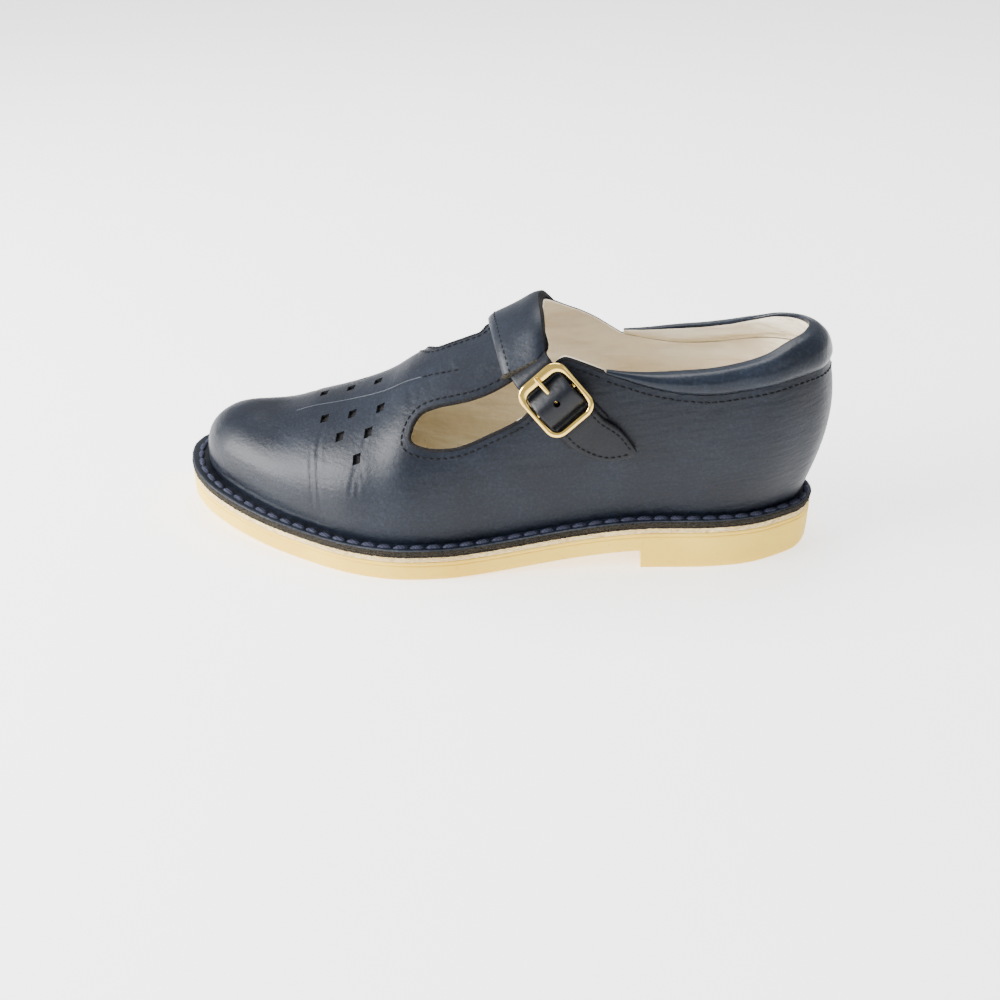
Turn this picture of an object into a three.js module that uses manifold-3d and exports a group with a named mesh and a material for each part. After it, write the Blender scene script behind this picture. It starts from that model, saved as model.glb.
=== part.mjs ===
// A left T-bar mary jane shoe, stitched down to a moulded sole, in millimetres.
// +Z is up, the toe points to -X, the outer (lateral) side faces -Y, and z = 0 is the floor.
import * as THREE from 'three';
import { mergeVertices } from 'three/addons/utils/BufferGeometryUtils.js';
import Module from 'manifold-3d';

const wasm = await Module();
wasm.setup();
const { lerp, smoothstep } = THREE.MathUtils;

// Sole
const soleLength = 267;
const ballWidth = 95;
const outsoleThickness = 8.2;
const midsoleThickness = 3;
const insoleThickness = 2.5;
const heelRise = 8.1;
const heelLength = 70.5;
const toeSpring = 8.5;
const soleRound = 1.2;
// Shares of the length over which the heel's rise and the ledge change, and where the toe springs up
const heelSlope = [0.24, 0.56];
const ledgeToeSpan = [0.72, 0.97];
const ledgeHeelSpan = [0.03, 0.3];
const springStart = 0.74;
const springPower = 1.8;

// Upper
const wall = 2.2;
const flangeThickness = 2.1;
const ledgeToe = 8;
const ledgeSide = 5.5;
const ledgeHeel = 4.5;
const instepHeight = 80;
const heelLean = 4.5;
const holeLong = 3.2;
const holeWide = 4.2;
const lastingEdge = 0.6;

// Strap, sleeve and buckle
const strapWidth = 16.4;
const strapThickness = 2;
const bandThickness = 1.6;
const buckleLength = 24.8;
const buckleWidth = 22;
const buckleBar = 2.3;
const buckleFrontBar = 4;
const buckleHeight = 2.4;
const barDiameter = 2;
const prongDiameter = 1.8;
const chapeThickness = 1;
const chapeLength = 19;
const chapeMargin = 1.5;
const buckleCorner = 5.6;
const buckleLift = 6.1;
const ringWall = 1;

// Collar roll
const rollThickness = 7;
const rollBulge = 2.2;

// Clearance between pieces that touch, and between the insole's rim and the leaning wall
const gap = 0.3;
const insoleRoom = 1.6 * gap;

// Sole outline from above: distance of each edge from the long axis, as shares of ballWidth
const OUTLINE = [
  { at: 0.018, lateral: 0.095, medial: 0.18 },
  { at: 0.053, lateral: 0.18, medial: 0.265 },
  { at: 0.1, lateral: 0.255, medial: 0.335 },
  { at: 0.16, lateral: 0.3, medial: 0.375 },
  { at: 0.24, lateral: 0.325, medial: 0.385 },
  { at: 0.32, lateral: 0.353, medial: 0.36 },
  { at: 0.4, lateral: 0.39, medial: 0.33 },
  { at: 0.48, lateral: 0.44, medial: 0.33 },
  { at: 0.56, lateral: 0.494, medial: 0.375 },
  { at: 0.63, lateral: 0.515, medial: 0.425 },
  { at: 0.7, lateral: 0.485, medial: 0.465 },
  { at: 0.77, lateral: 0.41, medial: 0.485 },
  { at: 0.84, lateral: 0.325, medial: 0.475 },
  { at: 0.9, lateral: 0.232, medial: 0.45 },
  { at: 0.95, lateral: 0.125, medial: 0.41 },
  { at: 0.983, lateral: 0.0, medial: 0.34 },
];
const heelOffset = 0.045;
const tipOffset = 0.19;

// The last's section along the shoe. side: ridge's distance from the long axis towards the medial
// side, as a share of ballWidth. crown: ridge height over the feather line, as a share of
// instepHeight. square: how boxy the section is. swell: bulge of the walls in mm.
const LAST = [
  { at: 0.14, side: 0.045, crown: 1.15, square: 3.3, swell: 3.0 },
  { at: 0.3, side: 0.04, crown: 1.15, square: 3.1, swell: 1.2 },
  { at: 0.4, side: 0.04, crown: 1.08, square: 2.8, swell: 0.5 },
  { at: 0.46, side: 0.045, crown: 0.975, square: 2.6, swell: 0.5 },
  { at: 0.52, side: 0.055, crown: 0.89, square: 2.5, swell: 0.5 },
  { at: 0.58, side: 0.065, crown: 0.805, square: 2.4, swell: 0.5 },
  { at: 0.62, side: 0.07, crown: 0.73, square: 2.35, swell: 1.0 },
  { at: 0.66, side: 0.08, crown: 0.635, square: 2.3, swell: 1.0 },
  { at: 0.71, side: 0.088, crown: 0.555, square: 2.3, swell: 1.5 },
  { at: 0.78, side: 0.1, crown: 0.47, square: 2.3, swell: 1.5 },
  { at: 0.85, side: 0.12, crown: 0.375, square: 2.45, swell: 1.0 },
];

const along = at => (0.5 - at) * soleLength;
const shareOf = x => 0.5 - x / soleLength;

// Smooth value of a column at a share of the length, held beyond both ends of the table
function column(table, key, at) {
  const last = table.length - 1;
  if (at <= table[0].at) return table[0][key];
  if (at >= table[last].at) return table[last][key];
  const i = table.findIndex(row => row.at > at) - 1;
  const a = table[i];
  const b = table[i + 1];
  const before = table[Math.max(0, i - 1)];
  const after = table[Math.min(last, i + 2)];
  const step = b.at - a.at;
  const t = (at - a.at) / step;
  const startSlope = (b[key] - before[key]) / (b.at - before.at) * step;
  const endSlope = (after[key] - a[key]) / (after.at - a.at) * step;
  const rise = t * t * (3 - 2 * t);
  return lerp(a[key], b[key], rise) + startSlope * t * (1 - t) ** 2 - endSlope * t * t * (1 - t);
}

// Closed dense outline of the sole, from the heel round the lateral side
function soleOutline() {
  const point = (at, share) => new THREE.Vector3(along(at), share * ballWidth, 0);
  const lateral = OUTLINE.map(row => point(row.at, -row.lateral));
  const medial = OUTLINE.map(row => point(row.at, row.medial)).reverse();
  const ring = [point(0, heelOffset), ...lateral, point(1, tipOffset), ...medial];
  return new THREE.CatmullRomCurve3(ring, true, 'centripetal').getSpacedPoints(720).slice(0, 720);
}

// Width of the ledge between the feather line and the sole's edge
function ledgeAt(at) {
  const toe = smoothstep(at, ...ledgeToeSpan);
  const heel = 1 - smoothstep(at, ...ledgeHeelSpan);
  return ledgeSide + (ledgeToe - ledgeSide) * toe + (ledgeHeel - ledgeSide) * heel;
}

// An outline moved inwards along its own normals
function insetOutline(outline, insetAt) {
  const n = outline.length;
  return outline.map((p, i) => {
    const a = outline[(i + n - 1) % n];
    const b = outline[(i + 1) % n];
    const length = Math.hypot(b.x - a.x, b.y - a.y);
    const inset = insetAt(shareOf(p.x));
    return new THREE.Vector3(p.x + (b.y - a.y) / length * inset, p.y - (b.x - a.x) / length * inset, 0);
  });
}

const SOLE = soleOutline();
const FEATHER = insetOutline(SOLE, ledgeAt);

const heelCentreAt = LAST[0].at;
const toeCentreAt = LAST[LAST.length - 1].at;
const sideSpokes = 24;
const fanSpokes = 9;

// Spokes run from the last's ridge out to the outline: straight across along the foot, and as fans
// round the heel and the toe
const spokeAt = (at, angle) => ({
  at,
  x: along(at),
  y: column(LAST, 'side', at) * ballWidth,
  dx: Math.cos(angle),
  dy: Math.sin(angle),
});

function halfSpokes(side) {
  const list = [];
  const fanStep = Math.PI / 2 / fanSpokes;
  for (let i = 0; i < fanSpokes; i++) list.push(spokeAt(heelCentreAt, side * (i + 0.5) * fanStep));
  for (let i = 0; i < sideSpokes; i++) {
    const at = lerp(heelCentreAt, toeCentreAt, i / (sideSpokes - 1));
    list.push(spokeAt(at, side * Math.PI / 2));
  }
  for (let i = 0; i < fanSpokes; i++) {
    list.push(spokeAt(toeCentreAt, side * (Math.PI / 2 + (i + 0.5) * fanStep)));
  }
  return list;
}
const SPOKES = [...halfSpokes(-1), ...halfSpokes(1).reverse()];

// Distance along a spoke to an outline
function reach(spoke, outline) {
  let best = 0;
  for (let i = 0; i < outline.length; i++) {
    const a = outline[i];
    const b = outline[(i + 1) % outline.length];
    const ax = a.x - spoke.x;
    const ay = a.y - spoke.y;
    const bx = b.x - a.x;
    const by = b.y - a.y;
    const det = bx * spoke.dy - by * spoke.dx;
    const t = (bx * ay - by * ax) / det;
    const s = (spoke.dx * ay - spoke.dy * ax) / det;
    if (t > best && s >= 0 && s < 1) best = t;
  }
  return best;
}

// Height of the midsole's top over the floor along the shoe
function seatHeight(at) {
  const heel = 1 - smoothstep(at, ...heelSlope);
  const spring = Math.max(0, (at - springStart) / (1 - springStart)) ** springPower;
  return outsoleThickness + gap + midsoleThickness + heelRise * heel + toeSpring * spring;
}
const featherHeight = at => seatHeight(at) + gap + flangeThickness;

// Solid from a closed geometry
function solidOf(geometry) {
  geometry.deleteAttribute('normal');
  geometry.deleteAttribute('uv');
  const merged = mergeVertices(geometry, 1e-4);
  return new wasm.Manifold(new wasm.Mesh({
    numProp: 3,
    vertProperties: merged.attributes.position.array,
    triVerts: new Uint32Array(merged.index.array),
  }));
}

// The largest body of a solid, without the crumbs of a cut
const mainBody = solid => solid.decompose().sort((a, b) => b.volume() - a.volume())[0];

// Closed solid from rings of equal length; the caps run across from one half of the ring to the other
function loft(rings) {
  const n = rings[0].length;
  const index = [];
  for (let k = 0; k + 1 < rings.length; k++) {
    for (let i = 0; i < n; i++) {
      const a = k * n + i;
      const b = k * n + (i + 1) % n;
      index.push(a, b, a + n, b, b + n, a + n);
    }
  }
  const cap = (base, flip) => {
    for (let i = 0; i < Math.ceil(n / 2) - 1; i++) {
      const [a, b] = [base + i, base + i + 1];
      const [c, d] = [base + n - 1 - i, base + n - 2 - i];
      for (const face of [[a, c, b], [b, c, d]]) {
        if (new Set(face).size === 3) index.push(...(flip ? face.reverse() : face));
      }
    }
  };
  cap(0, false);
  cap((rings.length - 1) * n, true);
  const geometry = new THREE.BufferGeometry().setFromPoints(rings.flat());
  geometry.setIndex(index);
  const solid = solidOf(geometry);
  if (solid.volume() > 0) return solid;
  const turned = geometry.clone();
  turned.setIndex(index.reverse());
  return solidOf(turned);
}

// One ring of points over an outline, at heights given by the share of the length
function outlineRing(outline, height) {
  return SPOKES.map(spoke => {
    const r = reach(spoke, outline);
    const x = spoke.x + spoke.dx * r;
    return new THREE.Vector3(x, spoke.y + spoke.dy * r, height(shareOf(x)));
  });
}

// Height over which the walls swell out and come back in
const swellSpan = tall => Math.min(1.3 * instepHeight, 0.9 * tall);

// Point of the last: angle 0 is the feather line and a quarter turn the ridge, offset is outwards
function lastPoint(spoke, featherReach, angle, offset) {
  const power = 2 / column(LAST, 'square', spoke.at);
  const foot = featherHeight(shareOf(spoke.x + spoke.dx * featherReach));
  const top = featherHeight(spoke.at) + column(LAST, 'crown', spoke.at) * instepHeight;
  const rise = (top - foot + offset) * Math.sin(angle) ** power;
  const bulge = Math.sin(Math.PI * Math.min(1, rise / swellSpan(top - foot)));
  const swell = column(LAST, 'swell', spoke.at) + heelLean * Math.max(0, spoke.dx);
  const r = (featherReach + offset) * Math.cos(angle) ** power + swell * bulge;
  return new THREE.Vector3(spoke.x + spoke.dx * r, spoke.y + spoke.dy * r, foot + rise);
}

// Point of the last at a height over the floor
function wallPoint(spoke, featherReach, z, offset) {
  const power = 2 / column(LAST, 'square', spoke.at);
  const foot = featherHeight(shareOf(spoke.x + spoke.dx * featherReach));
  const top = featherHeight(spoke.at) + column(LAST, 'crown', spoke.at) * instepHeight;
  const share = THREE.MathUtils.clamp((z - foot) / (top - foot), 0, 1);
  const p = lastPoint(spoke, featherReach, Math.asin(share ** (1 / power)), 0);
  return new THREE.Vector3(p.x + spoke.dx * offset, p.y + spoke.dy * offset, z);
}

const FEATHER_REACH = SPOKES.map(spoke => reach(spoke, FEATHER));
const ridgeStop = Math.PI / 2 - 0.05;
const lastLevels = 14;

// The last as a solid, grown or shrunk by an offset, with its foot carried down
function lastBody(offset, footDrop) {
  const ring = (angle, drop) => SPOKES.map((spoke, i) => {
    const p = lastPoint(spoke, FEATHER_REACH[i], angle, offset);
    p.z -= drop;
    return p;
  });
  const rings = [ring(0, footDrop)];
  for (let k = 0; k <= lastLevels; k++) rings.push(ring(ridgeStop * (k / lastLevels) ** 1.25, 0));
  return loft(rings);
}

// Distances over the section from the ridge down one side, at one station
const girthSteps = 48;
const girthCache = new Map();
function girthOf(x, side) {
  const key = `${x.toFixed(3)} ${side}`;
  if (!girthCache.has(key)) {
    const spoke = spokeAt(shareOf(x), side * Math.PI / 2);
    const featherReach = reach(spoke, FEATHER);
    const rows = [];
    let length = 0;
    for (let k = 0; k <= girthSteps; k++) {
      const point = lastPoint(spoke, featherReach, Math.PI / 2 * (1 - (k / girthSteps) ** 1.4), 0);
      if (k > 0) length += point.distanceTo(rows[k - 1].point);
      rows.push({ length, point });
    }
    girthCache.set(key, rows);
  }
  return girthCache.get(key);
}

// Point of the last at a station, by its distance over the surface from the ridge, medial positive
function skin(x, across) {
  const rows = girthOf(x, across < 0 ? -1 : 1);
  const distance = Math.abs(across);
  const k = Math.max(1, rows.findIndex(row => row.length >= distance));
  const [a, b] = [rows[k - 1], rows[k]];
  return a.point.clone().lerp(b.point, (distance - a.length) / (b.length - a.length));
}

// Outward unit normal of the last there
function skinNormal(x, across) {
  const step = 1.5;
  const lengthways = skin(x + step, across).sub(skin(x - step, across));
  const sideways = skin(x, across + step).sub(skin(x, across - step));
  return lengthways.cross(sideways).normalize();
}
const overSkin = (x, across, height) => skin(x, across).addScaledVector(skinNormal(x, across), height);

// Solid over a patch of the last: rows of stations, each from one height over the skin to another
function patch(rows, low, high) {
  const columns = rows[0].length;
  const grid = height => rows.flatMap((row, i) => row.map((p, j) => {
    const h = typeof height === 'function' ? height(p, i / (rows.length - 1), j / (columns - 1)) : height;
    return overSkin(p.x, p.across, h);
  }));
  const points = [...grid(low), ...grid(high)];
  const top = rows.length * columns;
  const index = [];
  const quad = (a, b, c, d) => index.push(a, b, c, a, c, d);
  for (let i = 0; i + 1 < rows.length; i++) {
    for (let j = 0; j + 1 < columns; j++) {
      const a = i * columns + j;
      quad(a, a + 1, a + columns + 1, a + columns);
      quad(top + a, top + a + columns, top + a + columns + 1, top + a + 1);
    }
  }
  const rim = [];
  for (let j = 0; j < columns - 1; j++) rim.push(j);
  for (let i = 0; i < rows.length - 1; i++) rim.push(i * columns + columns - 1);
  for (let j = columns - 1; j > 0; j--) rim.push((rows.length - 1) * columns + j);
  for (let i = rows.length - 1; i > 0; i--) rim.push(i * columns);
  rim.forEach((a, k) => {
    const b = rim[(k + 1) % rim.length];
    quad(b, a, a + top, b + top);
  });
  const geometry = new THREE.BufferGeometry().setFromPoints(points);
  geometry.setIndex(index);
  const solid = solidOf(geometry);
  if (solid.volume() > 0) return solid;
  geometry.setIndex(index.reverse());
  return solidOf(geometry);
}

// Rows of a patch between two edges given in a table by the share of the length
function patchRows(table, rowCount, columnCount) {
  const rows = [];
  const ends = [table[0].at, table[table.length - 1].at];
  for (let i = 0; i < rowCount; i++) {
    const at = lerp(ends[0], ends[1], i / (rowCount - 1));
    const row = [];
    for (let j = 0; j < columnCount; j++) {
      const share = lerp(column(table, 'inner', at), column(table, 'outer', at), j / (columnCount - 1));
      row.push({ x: along(at), across: share * instepHeight });
    }
    rows.push(row);
  }
  return rows;
}

// Straight-sided solid from a side-view outline of { at, up } points, between two distances across
function sidePrism(outline, from, to) {
  const points = outline.map(p => new THREE.Vector2(along(p.at), p.up * instepHeight));
  const geometry = new THREE.ExtrudeGeometry(new THREE.Shape(points), { depth: to - from, bevelEnabled: false });
  geometry.rotateX(Math.PI / 2);
  geometry.translate(0, to, 0);
  return solidOf(geometry);
}

// Collar: height of the seam under the roll and of the roll's top, as shares of instepHeight
const COLLAR = {
  lateral: [
    { at: 0, seam: 1.01, top: 1.18 },
    { at: 0.058, seam: 0.998, top: 1.145 },
    { at: 0.1, seam: 0.975, top: 1.105 },
    { at: 0.17, seam: 0.938, top: 1.055 },
    { at: 0.22, seam: 0.938, top: 1.035 },
    { at: 0.268, seam: 0.965, top: 1.028 },
    { at: 0.304, seam: 1.0, top: 1.034 },
    { at: 0.331, seam: 1.027, top: 1.044 },
  ],
  medial: [
    { at: 0, seam: 1.01, top: 1.18 },
    { at: 0.058, seam: 0.99, top: 1.145 },
    { at: 0.1, seam: 0.965, top: 1.1 },
    { at: 0.17, seam: 0.922, top: 1.042 },
    { at: 0.22, seam: 0.915, top: 1.02 },
    { at: 0.268, seam: 0.94, top: 1.0 },
    { at: 0.304, seam: 0.97, top: 0.995 },
  ],
};
const sideName = side => (side < 0 ? 'lateral' : 'medial');

// Side-view edges in front of the collar, heights as shares of instepHeight: the outer quarter's tab
// and the sleeve's open end, and the inner quarter's rise to the sleeve
const TAB = [
  { at: 0.335, up: 1.04 },
  { at: 0.362, up: 1.07 },
  { at: 0.389, up: 1.091 },
  { at: 0.398, up: 1.08 },
  { at: 0.405, up: 1.049 },
  { at: 0.421, up: 0.931 },
  { at: 0.441, up: 0.822 },
  { at: 0.466, up: 0.766 },
];
const SLEEVE_END = [
  { at: 0.466, up: 0.97 },
  { at: 0.444, up: 1.052 },
  { at: 0.415, up: 1.112 },
  { at: 0.421, up: 1.19 },
  { at: 0.432, up: 1.275 },
];
const INNER_RISE = [
  { at: 0.308, up: 0.975 },
  { at: 0.325, up: 1.015 },
  { at: 0.35, up: 1.075 },
  { at: 0.373, up: 1.12 },
  { at: 0.4, up: 1.165 },
  { at: 0.424, up: 1.22 },
  { at: 0.432, up: 1.275 },
];
const clearUp = 2.5;

// Windows each side of the instep bar: distances over the skin from the ridge, as shares of instepHeight
const OUTER_WINDOW = [
  { at: 0.455, inner: -0.42, outer: -0.645 },
  { at: 0.492, inner: -0.452, outer: -0.662 },
  { at: 0.519, inner: -0.462, outer: -0.68 },
  { at: 0.545, inner: -0.46, outer: -0.685 },
  { at: 0.575, inner: -0.456, outer: -0.665 },
  { at: 0.594, inner: -0.463, outer: -0.632 },
  { at: 0.605, inner: -0.5, outer: -0.6 },
  { at: 0.609, inner: -0.55, outer: -0.575 },
];
const INNER_WINDOW = [
  { at: 0.489, inner: 0.29, outer: 0.33 },
  { at: 0.496, inner: 0.21, outer: 0.405 },
  { at: 0.507, inner: 0.1, outer: 0.47 },
  { at: 0.517, inner: -0.02, outer: 0.515 },
  { at: 0.53, inner: -0.025, outer: 0.535 },
  { at: 0.556, inner: -0.025, outer: 0.54 },
  { at: 0.582, inner: -0.02, outer: 0.515 },
  { at: 0.597, inner: 0.04, outer: 0.475 },
  { at: 0.607, inner: 0.14, outer: 0.4 },
  { at: 0.611, inner: 0.25, outer: 0.29 },
];
const windowCut = 6;

// Punched holes of the vamp, from its centre line: three rows to a side, of 3, 2 and 1
const holeRows = [3, 2, 1];
const holeCentreAt = 0.7146;
const holePitch = 12.2;
const holeFirstRow = 10;
const holeRowPitch = 10.8;
const holeSlant = 0.22;

// The vamp's centre line: distance over the skin from the ridge, as a share of instepHeight
const VAMP_CENTRE = [
  { at: 0.543, across: -0.285 },
  { at: 0.591, across: -0.255 },
  { at: 0.635, across: -0.21 },
  { at: 0.662, across: -0.185 },
  { at: 0.72, across: -0.14 },
  { at: 0.779, across: -0.11 },
  { at: 0.847, across: -0.11 },
];

// Sleeve over the end of the bar, from its open outer end to where it sinks into the inner quarter
const SLEEVE = [
  { across: -0.41, front: 0.474, rear: 0.415, raise: 1 },
  { across: -0.2, front: 0.491, rear: 0.422, raise: 1 },
  { across: 0, front: 0.503, rear: 0.428, raise: 1 },
  { across: 0.14, front: 0.505, rear: 0.42, raise: 0.75 },
  { across: 0.3, front: 0.5, rear: 0.4, raise: 0.3 },
  { across: 0.44, front: 0.486, rear: 0.385, raise: 0 },
];
// How much lower its front and rear edges lie than its middle
const sleeveEdgeDrop = 0.35;

// Point of one side wall at a height over the floor
function wallAt(x, side, z) {
  const spoke = spokeAt(shareOf(x), side * Math.PI / 2);
  return wallPoint(spoke, reach(spoke, FEATHER), z, 0);
}
function overWall(x, z, height) {
  const step = 1.5;
  const lengthways = wallAt(x + step, -1, z).sub(wallAt(x - step, -1, z));
  const upwards = wallAt(x, -1, z + step).sub(wallAt(x, -1, z - step));
  const normal = lengthways.cross(upwards).normalize();
  return { point: wallAt(x, -1, z).addScaledVector(normal, height), normal };
}

function outsole() {
  const top = at => seatHeight(at) - midsoleThickness - gap;
  const under = at => top(at) - outsoleThickness;
  const tucked = insetOutline(SOLE, () => soleRound);
  const sheet = loft([
    outlineRing(tucked, under),
    outlineRing(SOLE, at => under(at) + soleRound),
    outlineRing(SOLE, top),
  ]);
  const block = loft([
    outlineRing(tucked, () => 0),
    outlineRing(SOLE, () => soleRound),
    outlineRing(SOLE, at => top(at) - soleRound),
  ]);
  const behind = new THREE.BoxGeometry(soleLength, 2 * ballWidth, 2 * instepHeight);
  behind.translate(soleLength - heelLength, 0, 0);
  return sheet.add(block.intersect(solidOf(behind)));
}

function midsole() {
  const tucked = insetOutline(SOLE, () => gap);
  return loft([
    outlineRing(tucked, at => seatHeight(at) - midsoleThickness),
    outlineRing(tucked, seatHeight),
  ]);
}

function insole() {
  const ring = height => SPOKES.map((spoke, i) => {
    const r = FEATHER_REACH[i] - wall - insoleRoom;
    const x = spoke.x + spoke.dx * r;
    return new THREE.Vector3(x, spoke.y + spoke.dy * r, seatHeight(shareOf(x)) + gap + height);
  });
  return loft([ring(0), ring(insoleThickness)]);
}

function flangePlate() {
  const bevel = 0.3 * flangeThickness;
  return loft([
    outlineRing(SOLE, at => seatHeight(at) + gap),
    outlineRing(SOLE, at => featherHeight(at) - bevel),
    outlineRing(insetOutline(SOLE, () => 2 * bevel), featherHeight),
  ]);
}

// Everything above the topline on one side, down to the seam under the collar roll
function topCutter(side, front) {
  const table = COLLAR[sideName(side)];
  const start = table[table.length - 1].at;
  const seam = [];
  const steps = 16;
  for (let i = 0; i <= steps; i++) {
    const at = lerp(-0.1, start, i / steps);
    seam.push({ at, up: column(table, 'seam', at) });
  }
  const outline = [
    { at: -0.1, up: clearUp },
    ...seam,
    ...front,
    { at: front[front.length - 1].at, up: clearUp },
  ];
  const middle = column(LAST, 'side', 0.45) * ballWidth;
  return side < 0
    ? sidePrism(outline, -ballWidth, middle + gap)
    : sidePrism(outline, middle - gap, ballWidth);
}

function punchedHoles() {
  const cutters = [];
  for (const side of [-1, 1]) {
    holeRows.forEach((count, row) => {
      for (let i = 0; i < count; i++) {
        const off = side * (holeFirstRow + row * holeRowPitch);
        const x = along(holeCentreAt) + (i - (count - 1) / 2) * holePitch - holeSlant * off;
        const middle = column(VAMP_CENTRE, 'across', shareOf(x)) * instepHeight + off;
        const rows = [-0.5, 0.5].map(u => [-0.5, 0.5].map(v => (
          { x: x + u * holeLong, across: middle + v * holeWide })));
        cutters.push(patch(rows, -windowCut, windowCut));
      }
    });
  }
  return cutters;
}

function sleeveRows() {
  const rows = [];
  const last = SLEEVE.length - 1;
  const steps = 18;
  for (let i = 0; i <= steps; i++) {
    const across = lerp(SLEEVE[0].across, SLEEVE[last].across, i / steps);
    const table = SLEEVE.map(row => ({ ...row, at: row.across }));
    const front = along(column(table, 'front', across));
    const rear = along(column(table, 'rear', across));
    const raise = column(table, 'raise', across);
    const row = [];
    for (let j = 0; j <= 8; j++) row.push({ x: lerp(front, rear, j / 8), across: across * instepHeight, raise });
    rows.push(row);
  }
  return rows;
}

// Middle of the strap's channel over the end of the bar, and where the buckle stands
const STRAP_TOP = [
  { at: 0.46, across: -0.08 },
  { at: 0.452, across: -0.24 },
  { at: 0.443, across: -0.37 },
];
const BUCKLE = { at: 0.4, up: 0.915, slope: 0.52 };
const STRAP_TAIL = [
  { at: 0.352, up: 0.748, lift: 1.8, narrow: 1 },
  { at: 0.318, up: 0.685, lift: 1.0, narrow: 0.86 },
  { at: 0.284, up: 0.643, lift: 0.6, narrow: 0.16 },
];
const strapSamples = 40;
const rodSides = 12;
const ringRadius = barDiameter / 2 + gap + ringWall;
const sleeveRoom = strapThickness + 2 * gap;
const sleeveHeight = sleeveRoom + bandThickness;

// The buckle's own frame: u runs down the strap, v across it, n away from the foot
function buckleFrame() {
  const x = along(BUCKLE.at);
  const z = BUCKLE.up * instepHeight;
  const { point, normal } = overWall(x, z, buckleLift);
  const run = 5;
  const rise = run * BUCKLE.slope * 2;
  const down = wallAt(x + run, -1, z - rise).sub(wallAt(x - run, -1, z + rise)).normalize();
  const u = down.addScaledVector(normal, -down.dot(normal)).normalize();
  const v = normal.clone().cross(u);
  return { point, u, v, n: normal };
}
const FRAME = buckleFrame();
const inFrame = (u, v, n) => FRAME.point.clone()
  .addScaledVector(FRAME.u, u).addScaledVector(FRAME.v, v).addScaledVector(FRAME.n, n);
const frameMatrix = new THREE.Matrix4().makeBasis(FRAME.u, FRAME.v, FRAME.n).setPosition(FRAME.point);

// Flat band of leather along stations { centre, across }, both faces parallel
function ribbon(stations, width, thickness, samples) {
  const edge = side => new THREE.CatmullRomCurve3(
    stations.map(s => s.centre.clone().addScaledVector(s.across, side * width * (s.narrow ?? 1) / 2)),
    false, 'centripetal');
  const edges = [edge(-1).getPoints(samples), edge(1).getPoints(samples)];
  const rings = edges[0].map((left, i) => {
    const right = edges[1][i];
    const ahead = Math.min(samples, i + 1);
    const behind = Math.max(0, i - 1);
    const middle = k => edges[0][k].clone().add(edges[1][k]).multiplyScalar(0.5);
    const tangent = middle(ahead).sub(middle(behind)).normalize();
    const up = right.clone().sub(left).cross(tangent).normalize().multiplyScalar(thickness / 2);
    return [left.clone().sub(up), right.clone().sub(up), right.clone().add(up), left.clone().add(up)];
  });
  return loft(rings);
}

const toVector = (from, to) => to.clone().sub(from).normalize();

// Stations of the strap from inside the sleeve, under the buckle's ends and over its bar, to the tip
function strapLine() {
  const half = strapThickness / 2;
  const list = STRAP_TOP.map(p => {
    const x = along(p.at);
    const across = p.across * instepHeight;
    return { centre: overSkin(x, across, gap + half), normal: skinNormal(x, across) };
  });
  const under = -buckleHeight / 2 - 2 * gap - half;
  const window = [-buckleLength / 2 + buckleFrontBar, buckleLength / 2 - buckleBar];
  const over = ringRadius + gap + half;
  const climb = lerp(under, over, 2 / 3);
  const local = [
    [-buckleLength / 2 - gap, under],
    [window[0] + half, under],
    [0.5 * window[0], climb],
    [0, over],
    [0.5 * window[1], climb],
    [window[1] - half, under],
    [buckleLength / 2 + 2 * gap, under],
  ];
  for (const [u, n] of local) list.push({ centre: inFrame(u, 0, n), normal: FRAME.n });
  for (const p of STRAP_TAIL) {
    const height = p.lift + gap + half;
    const { point, normal } = overWall(along(p.at), p.up * instepHeight, height);
    list.push({ centre: point, normal, narrow: p.narrow, height });
  }
  const buckleEnd = STRAP_TOP.length + local.length;
  return list.map((station, i) => {
    if (i >= STRAP_TOP.length && i < buckleEnd) return { ...station, across: FRAME.v.clone() };
    const ahead = list[Math.min(list.length - 1, i + 1)];
    const behind = list[Math.max(0, i - 1)];
    const across = station.normal.clone().cross(toVector(behind.centre, ahead.centre)).normalize();
    return i < buckleEnd ? { ...station, across } : onWall(station, across);
  });
}

// A station of the strap's tail with both its edges at its height over the quarter
function onWall(station, across) {
  const half = strapWidth * station.narrow / 2;
  const root = station.centre.clone().addScaledVector(station.normal, -station.height);
  const [low, high] = [-half, half].map(step => {
    const edge = root.clone().addScaledVector(across, step);
    return overWall(edge.x, edge.z, station.height).point;
  });
  return { centre: low.clone().lerp(high, 0.5), across: toVector(low, high), narrow: station.narrow };
}

// The strap's band, grown all round by a clearance
function strapBand(room) {
  return ribbon(strapLine(), strapWidth + 2 * room, strapThickness + 2 * room, strapSamples);
}

function strap() {
  return strapBand(0).subtract(prongSolid(prongDiameter + 2 * gap));
}

function prongSolid(diameter) {
  const high = buckleHeight / 2 + 1.2 * gap + prongDiameter / 2;
  const path = new THREE.CatmullRomCurve3([
    new THREE.Vector3(0.3 * ringWall - ringRadius, 0, 0.3 * barDiameter),
    new THREE.Vector3(-0.22 * buckleLength, 0, high - gap),
    new THREE.Vector3(-0.36 * buckleLength, 0, high),
    new THREE.Vector3(gap - buckleLength / 2, 0, high),
  ]);
  const circle = new THREE.Shape().absarc(0, 0, diameter / 2, 0, 2 * Math.PI);
  const pin = new THREE.ExtrudeGeometry(circle, { extrudePath: path, steps: 10, curveSegments: 6 });
  return solidOf(pin.applyMatrix4(frameMatrix));
}

// Cylinder along the buckle's bar
function rodAcross(radius, length) {
  return solidOf(new THREE.CylinderGeometry(radius, radius, length, rodSides).applyMatrix4(frameMatrix));
}

function prong() {
  const eye = rodAcross(ringRadius, prongDiameter);
  return mainBody(prongSolid(prongDiameter).add(eye).subtract(rodAcross(barDiameter / 2 + gap, buckleWidth)));
}

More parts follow.
